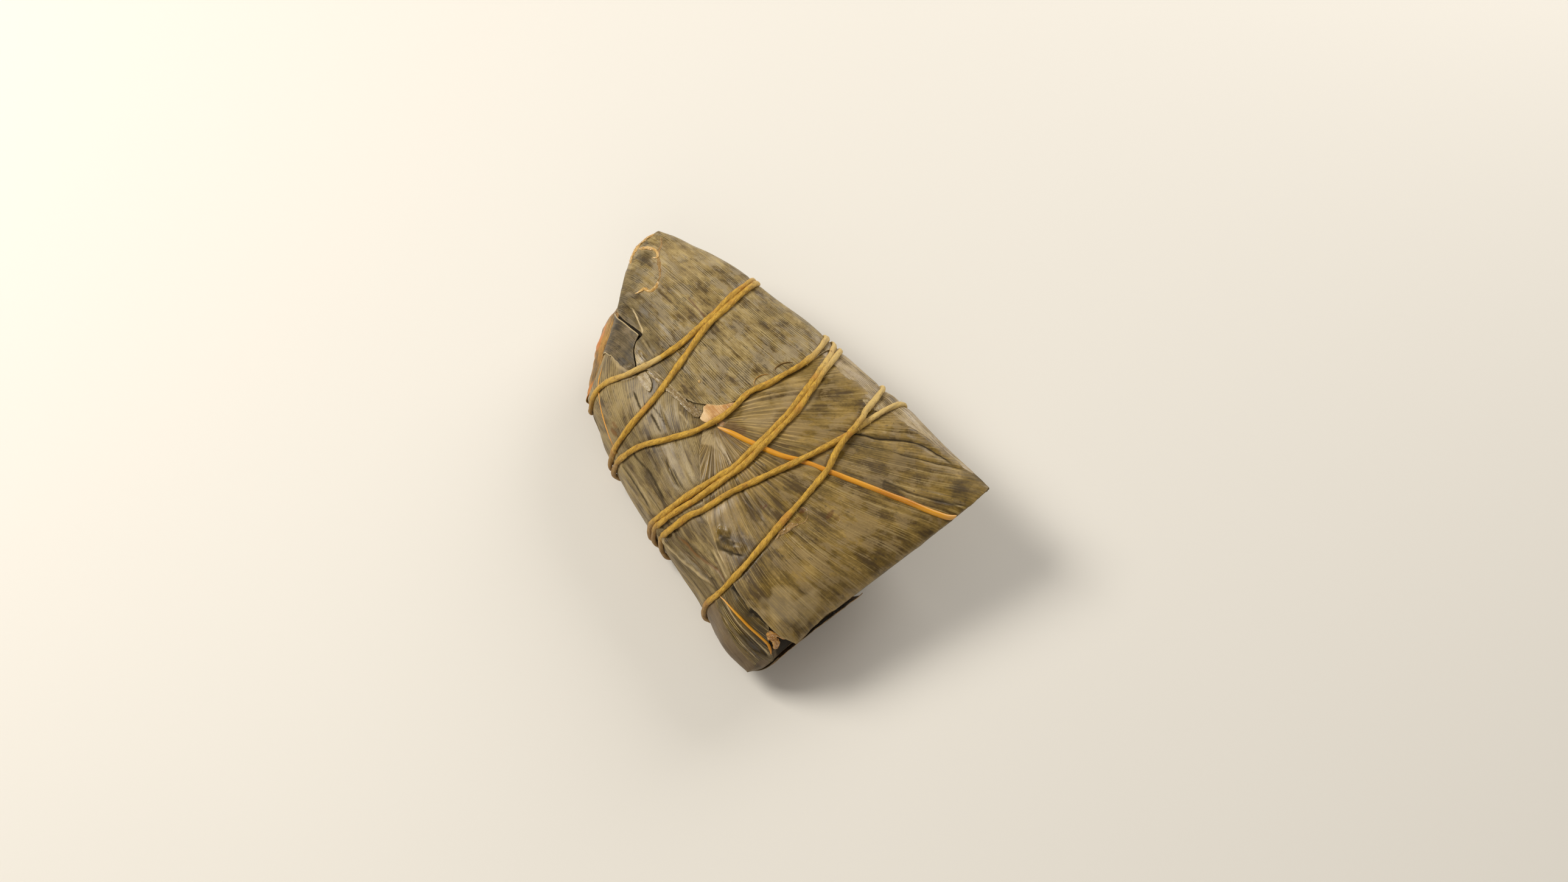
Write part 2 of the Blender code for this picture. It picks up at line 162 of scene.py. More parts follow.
def skin(across, along):
    """Points of the parcel's skin, for across from 0 to 2 and along from 0 to 1."""
    across = np.mod(across, 2.0)
    share = np.where(across <= 1, across, 2 - across)
    points = patch(*EDGES, share, along)
    edge = points[..., 2]
    rise = bulge(share, (2.3, 2.0), (5, 2.0)) * bulge(along, (5, 2.2), (4, 2.2))
    drop = bulge(share, (3.0, 2.2), (2.2, 1.2)) * bulge(along, (3.2, 1.4), (2.6, 1.3))
    over = edge + (CROWN - edge) * rise
    under = np.maximum(edge - (edge + PRESS) * drop, 0)
    under = np.maximum(under, np.minimum(bed_height(points[..., :2]), edge))
    points[..., 2] = np.where(across <= 1, over, under)
    return points


def eased(turn):
    """The share across or along for a turn that advances evenly round the rounded edges."""
    return np.floor(turn) + 0.5 - 0.5 * np.cos(np.pi * np.mod(turn, 1.0))


def turn_of(share):
    """The turn that eased() takes to this share."""
    whole = np.floor(share)
    return whole + np.arccos(1 - 2 * (np.asarray(share, float) - whole)) / np.pi


def normals(across, along, reach=0.012):
    """Directions away from the skin, averaged over a short reach."""
    low, high = (np.clip(along + side, 0.001, 0.999) for side in (-reach, reach))
    over = skin(across + reach, along) - skin(across - reach, along)
    return unit(np.cross(over, skin(across, high) - skin(across, low)))


def unit(vectors):
    """The same directions with length 1; where there is no direction, as at a corner, none."""
    return vectors / np.maximum(np.linalg.norm(vectors, axis=-1, keepdims=True), 1e-9)


def lifted(across, along, lift, reach=0.012):
    """Skin points moved outwards by lift."""
    return skin(across, along) + normals(across, along, reach) * np.asarray(lift)[..., None]


def placed(points):
    """Plan millimetres to metres about the parcel's own origin."""
    return (np.asarray(points) - (*CENTRE, 0)) * MM


# ---------------------------------------------------------------- noise and maps on the skin

def scattered(i, j, seed):
    """A repeatable number from 0 to 1 for each whole place (i, j)."""
    mask = 0xFFFFFFFF
    n = (i.astype(np.int64) * 374761393 + j.astype(np.int64) * 668265263 + seed * 1274126177) & mask
    n = ((n ^ (n >> 13)) * 1274126177) & mask
    return ((n ^ (n >> 16)) & 0xFFFF) / 65535.0


def noise(x, y, seed=0):
    """Smooth noise from -1 to 1, with features about one unit wide."""
    i, j = np.floor(x), np.floor(y)
    u, v = (part * part * (3 - 2 * part) for part in (x - i, y - j))
    a, b = scattered(i, j, seed), scattered(i + 1, j, seed)
    c, d = scattered(i, j + 1, seed), scattered(i + 1, j + 1, seed)
    return 2 * ((a * (1 - u) + b * u) * (1 - v) + (c * (1 - u) + d * u) * v) - 1


# A table over the skin, from underneath on one side to underneath on the other
TURNS = np.linspace(-0.6, 2.6, 801)
ALONGS = np.linspace(0.001, 0.999, 381)
TURN, ALONG = np.meshgrid(TURNS, ALONGS, indexing='ij')


def cell(values, at):
    """The cell of evenly spaced values that holds each place, and the share of the way across it."""
    count = len(values)
    place = np.clip((at - values[0]) / (values[-1] - values[0]) * (count - 1), 0, count - 1.001)
    whole = place.astype(int)
    return whole, place - whole


def sampled(table, turn, along):
    """Values of a table over the skin, between its places."""
    (a, u), (b, v) = cell(TURNS, turn), cell(ALONGS, along)
    if table.ndim == 3:
        u, v = u[..., None], v[..., None]
    return ((table[a, b] * (1 - u) + table[a + 1, b] * u) * (1 - v)
            + (table[a, b + 1] * (1 - u) + table[a + 1, b + 1] * u) * v)


def unroll():
    """Flat coordinates of the skin in mm: from its middle line, and from its near edge."""
    points = skin(eased(TURN), ALONG)
    x = np.linalg.norm(np.diff(points, axis=0, prepend=points[:1]), axis=-1).cumsum(axis=0)
    y = np.linalg.norm(np.diff(points, axis=1, prepend=points[:, :1]), axis=-1).cumsum(axis=1)
    middle = np.argmin(np.abs(TURNS - 0.5))
    return np.stack([x - x[middle], y], axis=-1)


FLAT = unroll()


def flat_of(places):
    """Flat coordinates of (across, along) places."""
    places = np.array(places, float)
    return sampled(FLAT, turn_of(places[..., 0]), places[..., 1])


def line_distance(flat, line, taper):
    """Distance in mm of flat points from a line of places, and a fade over a share of its ends."""
    dense = smooth_line(flat_of(line))[1]
    dense = dense[::4] if len(dense) > 24 else dense
    best = np.full(flat.shape[:-1], 1e9)
    fade = np.ones(flat.shape[:-1])
    for k, (start, run) in enumerate(zip(dense, np.diff(dense, axis=0))):
        away = flat - start
        share = np.clip((away @ run) / max(run @ run, 1e-9), 0, 1)
        distance = np.linalg.norm(away - share[..., None] * run, axis=-1)
        place = (k + share) / (len(dense) - 1)
        nearer = distance < best
        best = np.where(nearer, distance, best)
        fade = np.where(nearer, np.clip(np.minimum(place, 1 - place) / taper, 0, 1), fade)
    return best, fade


def twine_press():
    """How far the tight twine sinks the wrapping, and the swell between its passes."""
    press = np.zeros(TURN.shape)
    length = FLAT[..., 1][:, -1:]
    top = (TURN > -0.02) & (TURN < 1.02)
    for run in PASSES:
        order = smooth_line([(turn_of(a), b) for a, b, _ in run])[1][::-1]
        middle = np.interp(TURN, order[:, 0], order[:, 1])
        slope = np.gradient(middle, axis=0) * length / np.maximum(np.gradient(FLAT[..., 0], axis=0), .05)
        distance = (ALONG - middle) * length / np.sqrt(1 + slope ** 2)
        sink = 0.42 * np.exp(-(distance / 1.5) ** 2) - 0.16 * np.exp(-((np.abs(distance) - 4.2) / 2.4) ** 2)
        press = np.where(top, np.maximum(press, sink) + np.minimum(sink, 0) * (press <= 0), press)
    return -press


def ground_relief():
    """Relief shared by the skin and all leaves on it."""
    x, y = FLAT[..., 0], FLAT[..., 1]
    lumps = 0.42 * noise(x / 15, y / 17, 1) + 0.22 * noise(x / 6.5, y / 8, 2)
    rise = np.clip(np.minimum(ALONG, 1 - ALONG) / 0.05, 0, 1)
    under = (TURN > 1.05) & (TURN < 1.95)
    return np.where(under, 0.3 * lumps, lumps) * rise + twine_press()


GROUND = ground_relief()


# ---------------------------------------------------------------- vein directions

UNIT = 50.0
FAN_UNIT = 45.0
PLANE = [(0, 0), (1, 0), (0, 1)]
BENT = [*PLANE, (2, 0), (1, 1), (0, 2)]


def vein_field(guides, powers, level):
    """Fits w, the number that stays the same along a vein, to guide lines of places.

    A guide's own number is its flat distance across the skin where it passes the level.
    """
    def terms(flat):
        x, y = flat[..., 0] / UNIT, flat[..., 1] / UNIT
        return np.stack([x ** i * y ** j for i, j in powers], axis=-1)

    lines = [smooth_line(flat_of(places))[1] for places in guides]
    values = [np.full(len(dense[::5]), dense[np.argmin(np.abs(dense[:, 1] - level)), 0]) for dense in lines]
    rows = terms(np.vstack([dense[::5] for dense in lines]))
    weights = np.linalg.lstsq(rows, np.concatenate(values), rcond=None)[0]
    return lambda flat: terms(flat) @ weights


def fan_veins(hub, guides):
    """Veins that spread from a place: w follows their angle, bent with distance to fit the guides."""
    def polar(flat):
        away = flat - flat_of(hub)
        angle = np.mod(np.arctan2(away[..., 1], away[..., 0]) + 1.5 * np.pi, 2 * np.pi) - 1.5 * np.pi
        return angle, np.linalg.norm(away, axis=-1) / FAN_UNIT

    def terms(angle, far):
        return np.stack([far ** j * (angle + 1.3) ** i for j, most in ((0, 3), (1, 3), (2, 2))
                         for i in range(most + 1)], -1)

    lines = [polar(smooth_line(flat_of(places))[1][::4]) for places in guides]
    values = [np.full(len(angle), angle[np.argmin(np.abs(far - 1))]) for angle, far in lines]
    rows = np.vstack([terms(*line) for line in lines])
    weights = np.linalg.lstsq(rows, np.concatenate(values), rcond=None)[0]
    return lambda flat: terms(*polar(flat)) @ weights * FAN_UNIT


def plain_veins(flat):
    return flat[..., 0]


UPPER_VEINS = vein_field([
    [(.917, .937), (.911, .858), (.904, .788), (.899, .74)],
    [(.938, .71), (.965, .658), (.966, .588), (.96, .537)],
    [(.795, .918), (.772, .833), (.763, .761), (.752, .728)],
    [(.73, .953), (.643, .884), (.617, .811)],
    [(.54, .97), (.524, .915), (.53, .834), (.516, .772)],
    [(.851, .696), (.855, .628), (.857, .569), (.841, .505)],
    [(.745, .707), (.749, .676), (.772, .592), (.756, .522)],
    [(.681, .679), (.689, .602), (.696, .555)],
    [(.438, .762), (.444, .716)],
    [(.396, .636), (.401, .602)]], BENT, 100)
FAN_HUB = (.4, .545)
FAN_VEINS = fan_veins(FAN_HUB, [
    [(.559, .502), (.633, .48), (.72, .455), (.833, .42), (.861, .4), (.88, .36)],
    [(.497, .51), (.575, .465), (.681, .407), (.779, .377), (.863, .255), (.953, .196)],
    [(.495, .487), (.532, .461), (.599, .375), (.7, .33), (.831, .234), (.911, .185), (.968, .119)],
    [(.473, .473), (.503, .443), (.578, .362), (.806, .218), (.87, .163), (.961, .091)],
    [(.47, .44), (.56, .34), (.766, .191), (.87, .091), (.911, .047)],
    [(.454, .445), (.508, .362), (.63, .225), (.713, .127), (.779, .05), (.85, .003)],
    [(.433, .415), (.47, .34), (.516, .226), (.564, .176), (.62, .045), (.671, .002)],
    [(.388, .43), (.388, .351), (.4, .25), (.449, .09), (.489, .004)],
    [(.344, .455), (.311, .38), (.296, .329), (.301, .257), (.33, .093), (.375, .005)],
    [(.3, .47), (.192, .338), (.13, .185), (.15, .047), (.184, .022)]])
LEFT_VEINS = vein_field([
    [(.077, .919), (.043, .851), (.057, .769), (.045, .6)],
    [(.196, .824), (.171, .764), (.15, .7)],
    [(.192, .73), (.19, .662), (.161, .625), (.143, .55), (.139, .482)],
    [(.071, .621), (.065, .557), (.063, .493), (.072, .296)],
    [(.3, .68), (.23, .54), (.18, .44)]], BENT, 85)
END_VEINS = vein_field([
    [(.062, .185), (.073, .14), (.077, .097), (.086, .055), (.097, .023), (.103, .009)],
    [(.053, .176), (.054, .126), (.059, .076), (.066, .034), (.075, .002)],
    [(.031, .181), (.037, .14), (.034, .101), (.038, .052), (.045, .013), (.06, .002)],
    [(.017, .197), (.018, .155), (.011, .108), (.012, .07), (.015, .041), (.031, .002)],
    [(.104, .185), (.105, .13), (.11, .07), (.112, .03)]], BENT, 15)
BAND_VEINS = vein_field([
    [(.863, .425), (.872, .372), (.883, .316)],
    [(.92, .45), (.93, .3), (.96, .12)],
    [(1.01, .45), (1.01, .3), (1.01, .12)]], PLANE, 40)


# ---------------------------------------------------------------- materials

def srgb(red, green, blue):
    """A linear colour from the usual 0 to 255 numbers."""
    share = np.array([red, green, blue]) / 255
    linear = np.where(share <= 0.04045, share / 12.92, ((share + 0.055) / 1.055) ** 2.4)
    return (*linear, 1)


class Value:
    """What a node gives; arithmetic on it adds math nodes."""

    def __init__(self, recipe, socket):
        self.recipe, self.socket = recipe, socket

    def __add__(self, other):
        return self.recipe.math('ADD', self, other)

    def __sub__(self, other):
        return self.recipe.math('SUBTRACT', self, other)

    def __rsub__(self, other):
        return self.recipe.math('SUBTRACT', other, self)

    def __mul__(self, other):
        return self.recipe.math('MULTIPLY', self, other)


class Recipe:
    """A material and short ways to add nodes to it."""

    def __init__(self, name):
        self.material = bpy.data.materials.new(name)
        self.material.use_nodes = True
        self.tree = self.material.node_tree
        self.shader = self.tree.nodes["Principled BSDF"]

    def put(self, socket, value):
        if isinstance(value, Value):
            self.tree.links.new(value.socket, socket)
        else:
            socket.default_value = value

    def add(self, kind, values, **settings):
        """A node with these inputs and settings; returns what it gives."""
        node = self.tree.nodes.new(kind)
        for key, value in settings.items():
            setattr(node, key, value)
        for key, value in values.items():
            self.put(node.inputs[key], value)
        return [Value(self, socket) for socket in node.outputs]

    def set(self, **values):
        for key, value in values.items():
            self.put(self.shader.inputs[key.replace("_", " ")], value)
        return self.material

    def math(self, operation, a, b):
        return self.add('ShaderNodeMath', {0: a, 1: b}, operation=operation)[0]

    def step(self, value, low, high):
        """0 below low, 1 above high and smooth between."""
        return self.add('ShaderNodeMapRange', {'Value': value, 'From Min': low, 'From Max': high},
                        interpolation_type='SMOOTHSTEP')[0]

    def span(self, value, low, high):
        return self.add('ShaderNodeMapRange', {'Value': value, 'To Min': low, 'To Max': high})[0]

    def mix(self, share, a, b):
        return self.add('ShaderNodeMix', {0: share, 6: a, 7: b}, data_type='RGBA')[2]

    def flat(self):
        """Flat coordinates on the piece in mm, across and along its veins or fibres."""
        return self.add('ShaderNodeUVMap', {}, uv_map="leaf")[0]

    def marks(self):
        """Painted marks: painted shade, paleness with some painted glints, brown stain and wetness."""
        colour, wetness_and_shade = self.add('ShaderNodeVertexColor', {}, layer_name="marks")
        return [*self.add('ShaderNodeSeparateColor', {0: colour}), wetness_and_shade]

    def noise(self, vector, wide, long, seed=0, detail=2.0, rough=0.5):
        """Noise with features `wide` mm across the veins and `long` mm along them."""
        mapped = self.add('ShaderNodeMapping', {
            'Vector': vector, 'Location': (seed * 7.3, seed * 3.1, seed * 1.7),
            'Scale': (1 / wide, 1 / long, 1 / wide)})[0]
        return self.add('ShaderNodeTexNoise', {'Vector': mapped, 'Scale': 1.0, 'Detail': detail,
                                               'Roughness': rough})[0]

    def bump(self, height, depth):
        return self.add('ShaderNodeBump', {'Height': height, 'Strength': 1.0, 'Distance': depth * MM})[0]


STRAW = srgb(196, 174, 118)
INK = srgb(50, 40, 24)
GROOVE_TONE = srgb(72, 58, 28)
SPECK_TONE = srgb(62, 48, 18)
SPOKE_DARK, SPOKE_PALE = srgb(88, 66, 28), srgb(196, 164, 104)
# The colour of painted shade, and of pale edges and worn patches that also carry painted glints
PAINTED_SHADE_TONE, WORN_AND_GLINT_TONE = srgb(24, 17, 6), srgb(214, 190, 142)
HUB_COARSER = 2.6     # how much coarser the lines are near the hub of a fan


def off(value, share):
    """How far a number from 0 to 1 is off its middle, times a share."""
    return (value - 0.5) * share


class Leaf(Recipe):
    """The recipe of a boiled bamboo leaf, with the fine lines and grain that its looks share.

    Where the veins spread from a hub, the lines near the hub are fewer, so that they keep their
    spacing. `period` is the spacing of the even lines and `thin` the width of the uneven ones.
    """

    def __init__(self, name, seed, spread, period, thin, even):
        super().__init__(name)
        self.seed, self.spread = seed, spread
        self.map = self.flat()
        self.w, self.l, _ = self.add('ShaderNodeSeparateXYZ', {0: self.map})
        self.far = self.step(self.l, 22, 46) if spread else None
        self.thread = self.fanned(lambda wide: self.seeded(1, wide, 34, 1.0), thin)
        self.comb = self.fanned(self.combed, period) * 0.5 + 0.25
        self.fine = self.thread * (1 - even) + self.comb * even
        self.bundle = self.fanned(lambda wide: self.seeded(3, wide, 26), 1.1)
        self.grain = self.seeded(5, 0.55, 0.95)

    def seeded(self, number, wide, long, detail=2.0, rough=0.6):
        return self.noise(self.map, wide, long, self.seed + number, detail, rough)

    def fanned(self, made, size):
        """made(size), but made coarser near the hub of a leaf that spreads."""
        if not self.spread:
            return made(size)
        return self.far * made(size) + (1.0 - self.far) * made(HUB_COARSER * size)

    def combed(self, period):
        """Even lines along the veins, that sway a little."""
        phase = (self.w + off(self.seeded(2, 4, 60, 1.0, 0.5), 1.6)) * (2 * math.pi / period)
        return self.span(self.math('COSINE', phase, 0.0), 0.0, 1.0)

    def clouds(self, tones, cloud, greyness):
        """Soft clouds of four tones, and patches of a grey that is partly the leaf's own grey and partly
        painted sheen.
        """
        broad = self.seeded(6, 14, 22)
        streaks = off(self.fine, 0.24) + off(self.bundle, 0.34)
        tone = self.seeded(4, *cloud, 3.0, 0.52) + (streaks + off(self.grain, 0.22)) + off(broad, 0.4)
        colour = self.mix(self.step(tone, 0.30, 0.43), tones[0], tones[1])
        colour = self.mix(self.step(tone, 0.41, 0.53), colour, tones[2])
        colour = self.mix(self.step(tone, 0.52, 0.70), colour, tones[3])
        smooth = self.seeded(7, 3.2, 5.5, 4.0) + (streaks + off(broad, 0.5))
        # Patches of the grey tone: partly the leaf's own grey, partly painted sheen
        return self.mix(self.step(smooth, 0.49, 0.60) * greyness, colour, tones[4])

    def veins(self, colour, lines, grooves):
        """Straw-coloured and dark lines along the veins."""
        shown = self.step(self.seeded(8, 2.4, 11, 3.0, 0.5), 0.42, 0.58)
        colour = self.mix(self.step(self.fine, 0.53, 0.66) * shown * lines, colour, STRAW)
        groove = self.step(self.comb + off(self.thread, 0.9), 0.44, 0.30)
        groove *= self.step(self.seeded(14, 3.4, 9, 3.0), 0.47, 0.60)
        return self.mix(groove * grooves, colour, GROOVE_TONE)

    def spokes(self, colour):
        """Bold dark and pale lines near the hub."""
        spoke = self.combed(2.1) + off(self.seeded(15, 1.3, 30, 2.0, 0.5), 1.6)
        kept = (1.0 - self.step(self.l, 13, 40)) * self.span(self.seeded(16, 5, 9, 2.0, 0.5), -0.5, 1.7)
        colour = self.mix(self.step(spoke, 0.48, 0.20) * (kept * 0.6), colour, SPOKE_DARK)
        return self.mix(self.step(spoke, 0.68, 0.95) * (kept * 0.75), colour, SPOKE_PALE)

    def specks(self, colour, inks, specks):
        """Short inky strokes that gather in dark clouds, and small brown specks."""
        low = 0.66 - 0.16 * inks
        darker = self.step(self.seeded(9, 3.0, 4.6, 4.0), low, low + 0.12)
        cut = self.seeded(10, 0.26, 3.4, 1.0) * 0.6 + (0.4 - self.comb * 0.4)
        ink = self.step(cut + off(darker, 0.14), 0.53, 0.62) * 0.62
        colour = self.mix(ink * (darker * 0.8 + 0.2), colour, INK)
        dot = self.step(self.seeded(11, 0.42, 0.75) + off(self.seeded(12, 5, 8, 3.0), 0.7), 0.56, 0.78)
        return self.mix(dot * specks, colour, SPECK_TONE)


def leaf_material(name, seed, tones, inks=0.5, lines=0.5, specks=0.5, greyness=0.5, shine=0.42,
                  grooves=0.5, cloud=(4.0, 6.5), comb=0.62, spread=False, rust=(86, 46, 8), even=0.4,
                  thin=0.24):
    """A boiled bamboo leaf: clouds of four tones and a grey, partly painted sheen, under lines, strokes and
    marks.
    """
    r = Leaf(name, seed, spread, comb, thin, even)
    colour = r.veins(r.clouds([srgb(*tone) for tone in tones], cloud, greyness), lines, grooves)
    colour = r.specks(r.spokes(colour) if spread else colour, inks, specks)
    painted_shade, pale, stain, wetness_and_shade = r.marks()
    # Painted shade: creases, slits, hollows and the spots and lines marked DARK turn a near-black brown
    colour = r.mix(painted_shade * 0.94, colour, PAINTED_SHADE_TONE)
    # Pale edges and worn patches, and painted glints along a bright fold and a crescent
    colour = r.mix(pale * 0.85, colour, WORN_AND_GLINT_TONE)
    colour = r.mix(stain * 0.85, colour, srgb(*rust))
    wetness = r.step(r.seeded(13, 7, 12, 2.0, 0.5), 0.45, 0.7)
    rough = (r.span(wetness, shine + 0.10, shine - 0.08) - wetness_and_shade * 0.28 + off(r.fine, 0.3)
             + painted_shade * 0.5)
    return r.set(Base_Color=colour, Roughness=rough, IOR=1.42,
                 Normal=r.bump(r.fine + (r.bundle * 0.5 + r.grain * 0.35), 0.09),
                 Coat_Weight=(1.0 - painted_shade) * 0.10, Coat_Roughness=0.22)


upper_green = leaf_material(
    "upper_leaf_green", 1, [(82, 63, 26), (122, 100, 53), (143, 121, 71), (168, 146, 97), (148, 133, 105)],
    inks=0.75, specks=0.4, greyness=0.6, grooves=0.6, cloud=(3.0, 6.0))
fan_green = leaf_material(
    "fan_leaf_green", 21, [(76, 56, 15), (102, 80, 28), (127, 102, 44), (156, 128, 67), (139, 117, 77)],
    inks=0.4, lines=0.26, specks=0.3, greyness=0.65, grooves=0.3, cloud=(2.4, 9.5), spread=True, even=0.12)
left_green = leaf_material(
    "left_leaf_green", 41, [(80, 62, 30), (116, 95, 52), (138, 117, 70), (156, 135, 88), (134, 117, 90)],
    lines=0.35, specks=0.4, greyness=0.35, shine=0.5, cloud=(2.6, 8.0), rust=(112, 74, 26))
end_green = leaf_material(
    "end_leaf_green", 61, [(42, 30, 2), (64, 48, 8), (86, 68, 22), (122, 98, 48), (104, 86, 56)],
    lines=0.75, specks=0.2, greyness=0.12, shine=0.34, grooves=0.7, cloud=(2.2, 12.0), comb=0.4, thin=0.16)
band_grey = leaf_material(
    "edge_leaf_straw", 81,
    [(104, 84, 50), (138, 117, 78), (160, 139, 100), (182, 162, 126), (166, 148, 124)],
    inks=0.3, lines=0.4, specks=0.3, cloud=(2.2, 9.0))
flap_grey = leaf_material(
    "flap_grey", 101, [(46, 36, 16), (74, 60, 32), (96, 80, 48), (120, 102, 72), (100, 86, 66)],
    inks=0.65, lines=0.12, greyness=0.35, shine=0.58, cloud=(2.6, 4.5))
corner_straw = leaf_material(
    "corner_straw", 121, [(102, 72, 18), (142, 100, 32), (168, 122, 44), (194, 146, 64), (168, 130, 70)],
    inks=0.6, specks=0.4, greyness=0.15, cloud=(2.0, 9.0), rust=(210, 122, 22))
inner_green = leaf_material(
    "inner_leaf_green", 141, [(62, 46, 20), (92, 72, 36), (114, 92, 54), (142, 120, 80), (122, 104, 80)],
    lines=0.3, specks=0.4, greyness=0.35)
end_brown = leaf_material(
    "end_leaf_brown", 201, [(62, 46, 20), (86, 66, 36), (100, 80, 50), (116, 96, 64), (98, 80, 58)],
    inks=0.2, lines=0.1, specks=0.2, greyness=0.3, grooves=0.1, cloud=(4.0, 9.0))
tuck_brown = leaf_material(
    "tuck_brown", 161, [(56, 34, 12), (92, 60, 24), (130, 86, 38), (162, 114, 58), (116, 84, 48)],
    inks=0.4, lines=0.4, specks=0.2, greyness=0.1, cloud=(1.6, 6.0))
STALK = leaf_material(
    "stalk_cream", 181,
    [(186, 138, 84), (206, 162, 106), (220, 180, 126), (234, 202, 152), (214, 176, 134)],
    inks=0.05, lines=0.4, specks=0.05, greyness=0.3, grooves=0.15, shine=0.26)


def twine_material():
    r = Recipe("soaked_twine")
    flat = r.flat()
    wetness_and_shade, pale, _, _ = r.marks()
    fibre = r.noise(flat, 0.15, 1.5, 1, 3.0, 0.65)
    tone = r.noise(flat, 1.0, 2.0, 2, 3.0, 0.65)
    soak = r.noise(flat, 9, 7, 3, 3.0, 0.6)
    dirt = r.noise(flat, 0.7, 1.0, 4, 2.0)
    colour = r.mix(r.step(tone, 0.36, 0.62), srgb(170, 126, 20), srgb(204, 158, 42))
    colour = r.mix(r.step(fibre, 0.52, 0.70) * 0.6, colour, srgb(222, 184, 80))
    colour = r.mix(r.step(fibre, 0.48, 0.32) * 0.65, colour, srgb(124, 82, 10))
    colour = r.mix(r.step(soak, 0.56, 0.70) * 0.5, colour, srgb(178, 112, 22))
    # Painted shade: darker where the twine runs low, down the sides and under the parcel, and on the knots
    # underneath
    colour = r.mix(wetness_and_shade, colour, srgb(120, 84, 28))
    colour = r.mix(pale, colour, srgb(218, 194, 132))
    colour = r.mix(r.step(dirt, 0.62, 0.74) * 0.6, colour, srgb(104, 64, 20))
    return r.set(Base_Color=colour, Roughness=0.62, Normal=r.bump(fibre, 0.16), Sheen_Weight=0.1)


def rib_material():
    r = Recipe("amber_midrib")
    flat = r.flat()
    fine = r.noise(flat, 0.2, 8, 2)
    colour = r.mix(r.step(r.noise(flat, 4, 14, 1), 0.35, 0.65), srgb(188, 116, 0), srgb(212, 146, 18))
    colour = r.mix(r.step(fine, 0.45, 0.75) * 0.3, colour, srgb(230, 174, 56))
    colour = r.mix(r.marks()[1], colour, srgb(236, 190, 128))
    return r.set(Base_Color=colour, Roughness=0.42, Normal=r.bump(fine, 0.04), Coat_Weight=0.12,
                 Coat_Roughness=0.2)


def gel_material(name, thin, thick, froth, rough=0.14):
    """Sticky rice water that has set on the leaves."""
    r = Recipe(name)
    flat = r.flat()
    cloudy = r.noise(flat, 1.1, 1.6, 1, 3.0, 0.6)
    bubble = r.noise(flat, 0.35, 0.35, 2, 2.0, 0.6)
    colour = r.mix(r.step(cloudy, 0.38, 0.60), srgb(*thin), srgb(*thick))
    colour = r.mix(r.step(bubble, 0.56, 0.68) * 0.7, colour, srgb(*froth))
    return r.set(Base_Color=colour, Roughness=rough, Normal=r.bump(cloudy + bubble * 0.6, 0.22), IOR=1.4,
                 Coat_Weight=0.5 if rough < 0.3 else 0.1, Coat_Roughness=0.06)


TWINE_MATERIAL = twine_material()
RIB_MATERIAL = rib_material()
CREAM = gel_material("cream_residue", (178, 134, 68), (206, 166, 98), (232, 204, 148))
MILKY = gel_material("milky_residue", (138, 116, 76), (160, 140, 100), (198, 184, 150), 0.34)
CLEAR = gel_material("clear_residue", (112, 90, 52), (134, 112, 72), (168, 146, 110), 0.24)
FILM = gel_material("film_residue", (128, 98, 52), (152, 120, 72), (196, 168, 120))
AMBER = gel_material("amber_residue", (144, 94, 30), (190, 138, 66), (234, 210, 162), 0.1)
HUB_GEL = gel_material("hub_residue", (160, 120, 76), (184, 146, 104), (212, 182, 144), 0.3)


# ---------------------------------------------------------------- leaves

NONE = (0, 0, 0, 0)
# DARK is painted shade: in creases, slits and hollows, under edges, and on sides turned from the light
DARK, PALE, STAIN, WET = range(4)     # what the four channels of a leaf's marks say
START, END = 0.0004, 0.9996           # how near the parcel's two ends a sheet goes
SKIN_FOLDS = 0.35        # height of the long folds underneath, in mm


def new_piece(name, points, faces):
    """A mesh object from points in metres."""
    mesh = bpy.data.meshes.new(name)
    mesh.from_pydata(points, [], faces)
    piece = bpy.data.objects.new(name, mesh)
    bpy.context.scene.collection.objects.link(piece)
    return piece


def grid_piece(name, points, closed=False):
    """A smooth mesh from rows and columns of points in mm; closed joins last column to first."""
    rows, columns = points.shape[:2]
    index = np.arange(rows * columns).reshape(rows, columns)
    if closed:
        index = np.hstack([index, index[:, :1]])
    quads = np.stack([index[:-1, :-1], index[:-1, 1:], index[1:, 1:], index[1:, :-1]], axis=-1)
    piece = new_piece(name, placed(points.reshape(-1, 3)).tolist(), quads.reshape(-1, 4).tolist())
    piece.data.shade_smooth()
    return piece


def give_map(piece, values):
    """The "leaf" map: one pair of flat coordinates in mm per vertex."""
    mesh = piece.data
    loops = np.zeros(len(mesh.loops), np.int32)
    mesh.loops.foreach_get("vertex_index", loops)
    layer = mesh.uv_layers.new(name="leaf")
    layer.uv.foreach_set("vector", values.reshape(-1, 2)[loops].astype(np.float32).ravel())


def give_marks(piece, marks):
    layer = piece.data.color_attributes.new("marks", 'FLOAT_COLOR', 'POINT')
    layer.data.foreach_set("color", np.clip(marks, 0, 1).reshape(-1, 4).astype(np.float32).ravel())


def thicken(piece, thickness):
    solidify = piece.modifiers.new("thickness", 'SOLIDIFY')
    solidify.thickness = thickness * MM
    solidify.offset = 1


def finish_piece(piece, material, nodes=()):
    piece.data.materials.append(material)
    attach(piece, "root")
    for name in nodes:
        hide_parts(name)


def mark(marks, channel, amount):
    marks[..., channel] = np.maximum(marks[..., channel], amount)


def crease_relief(flat, creases, marks):
    """Relief of creases (places, depth, half width, darkness), with painted shade along them."""
    relief = np.zeros(flat.shape[:-1])
    wobble = 1 + 0.35 * noise(flat[..., 0] / 2.0, flat[..., 1] / 2.0, 5)
    for places, depth, width, dark in creases:
        distance, fade = line_distance(flat, places, 0.18)
        relief += depth * fade * np.exp(-(distance / width) ** 2) * wobble
        mark(marks, DARK, dark * np.exp(-(distance / (0.45 * width)) ** 2) * fade * wobble)
    return relief


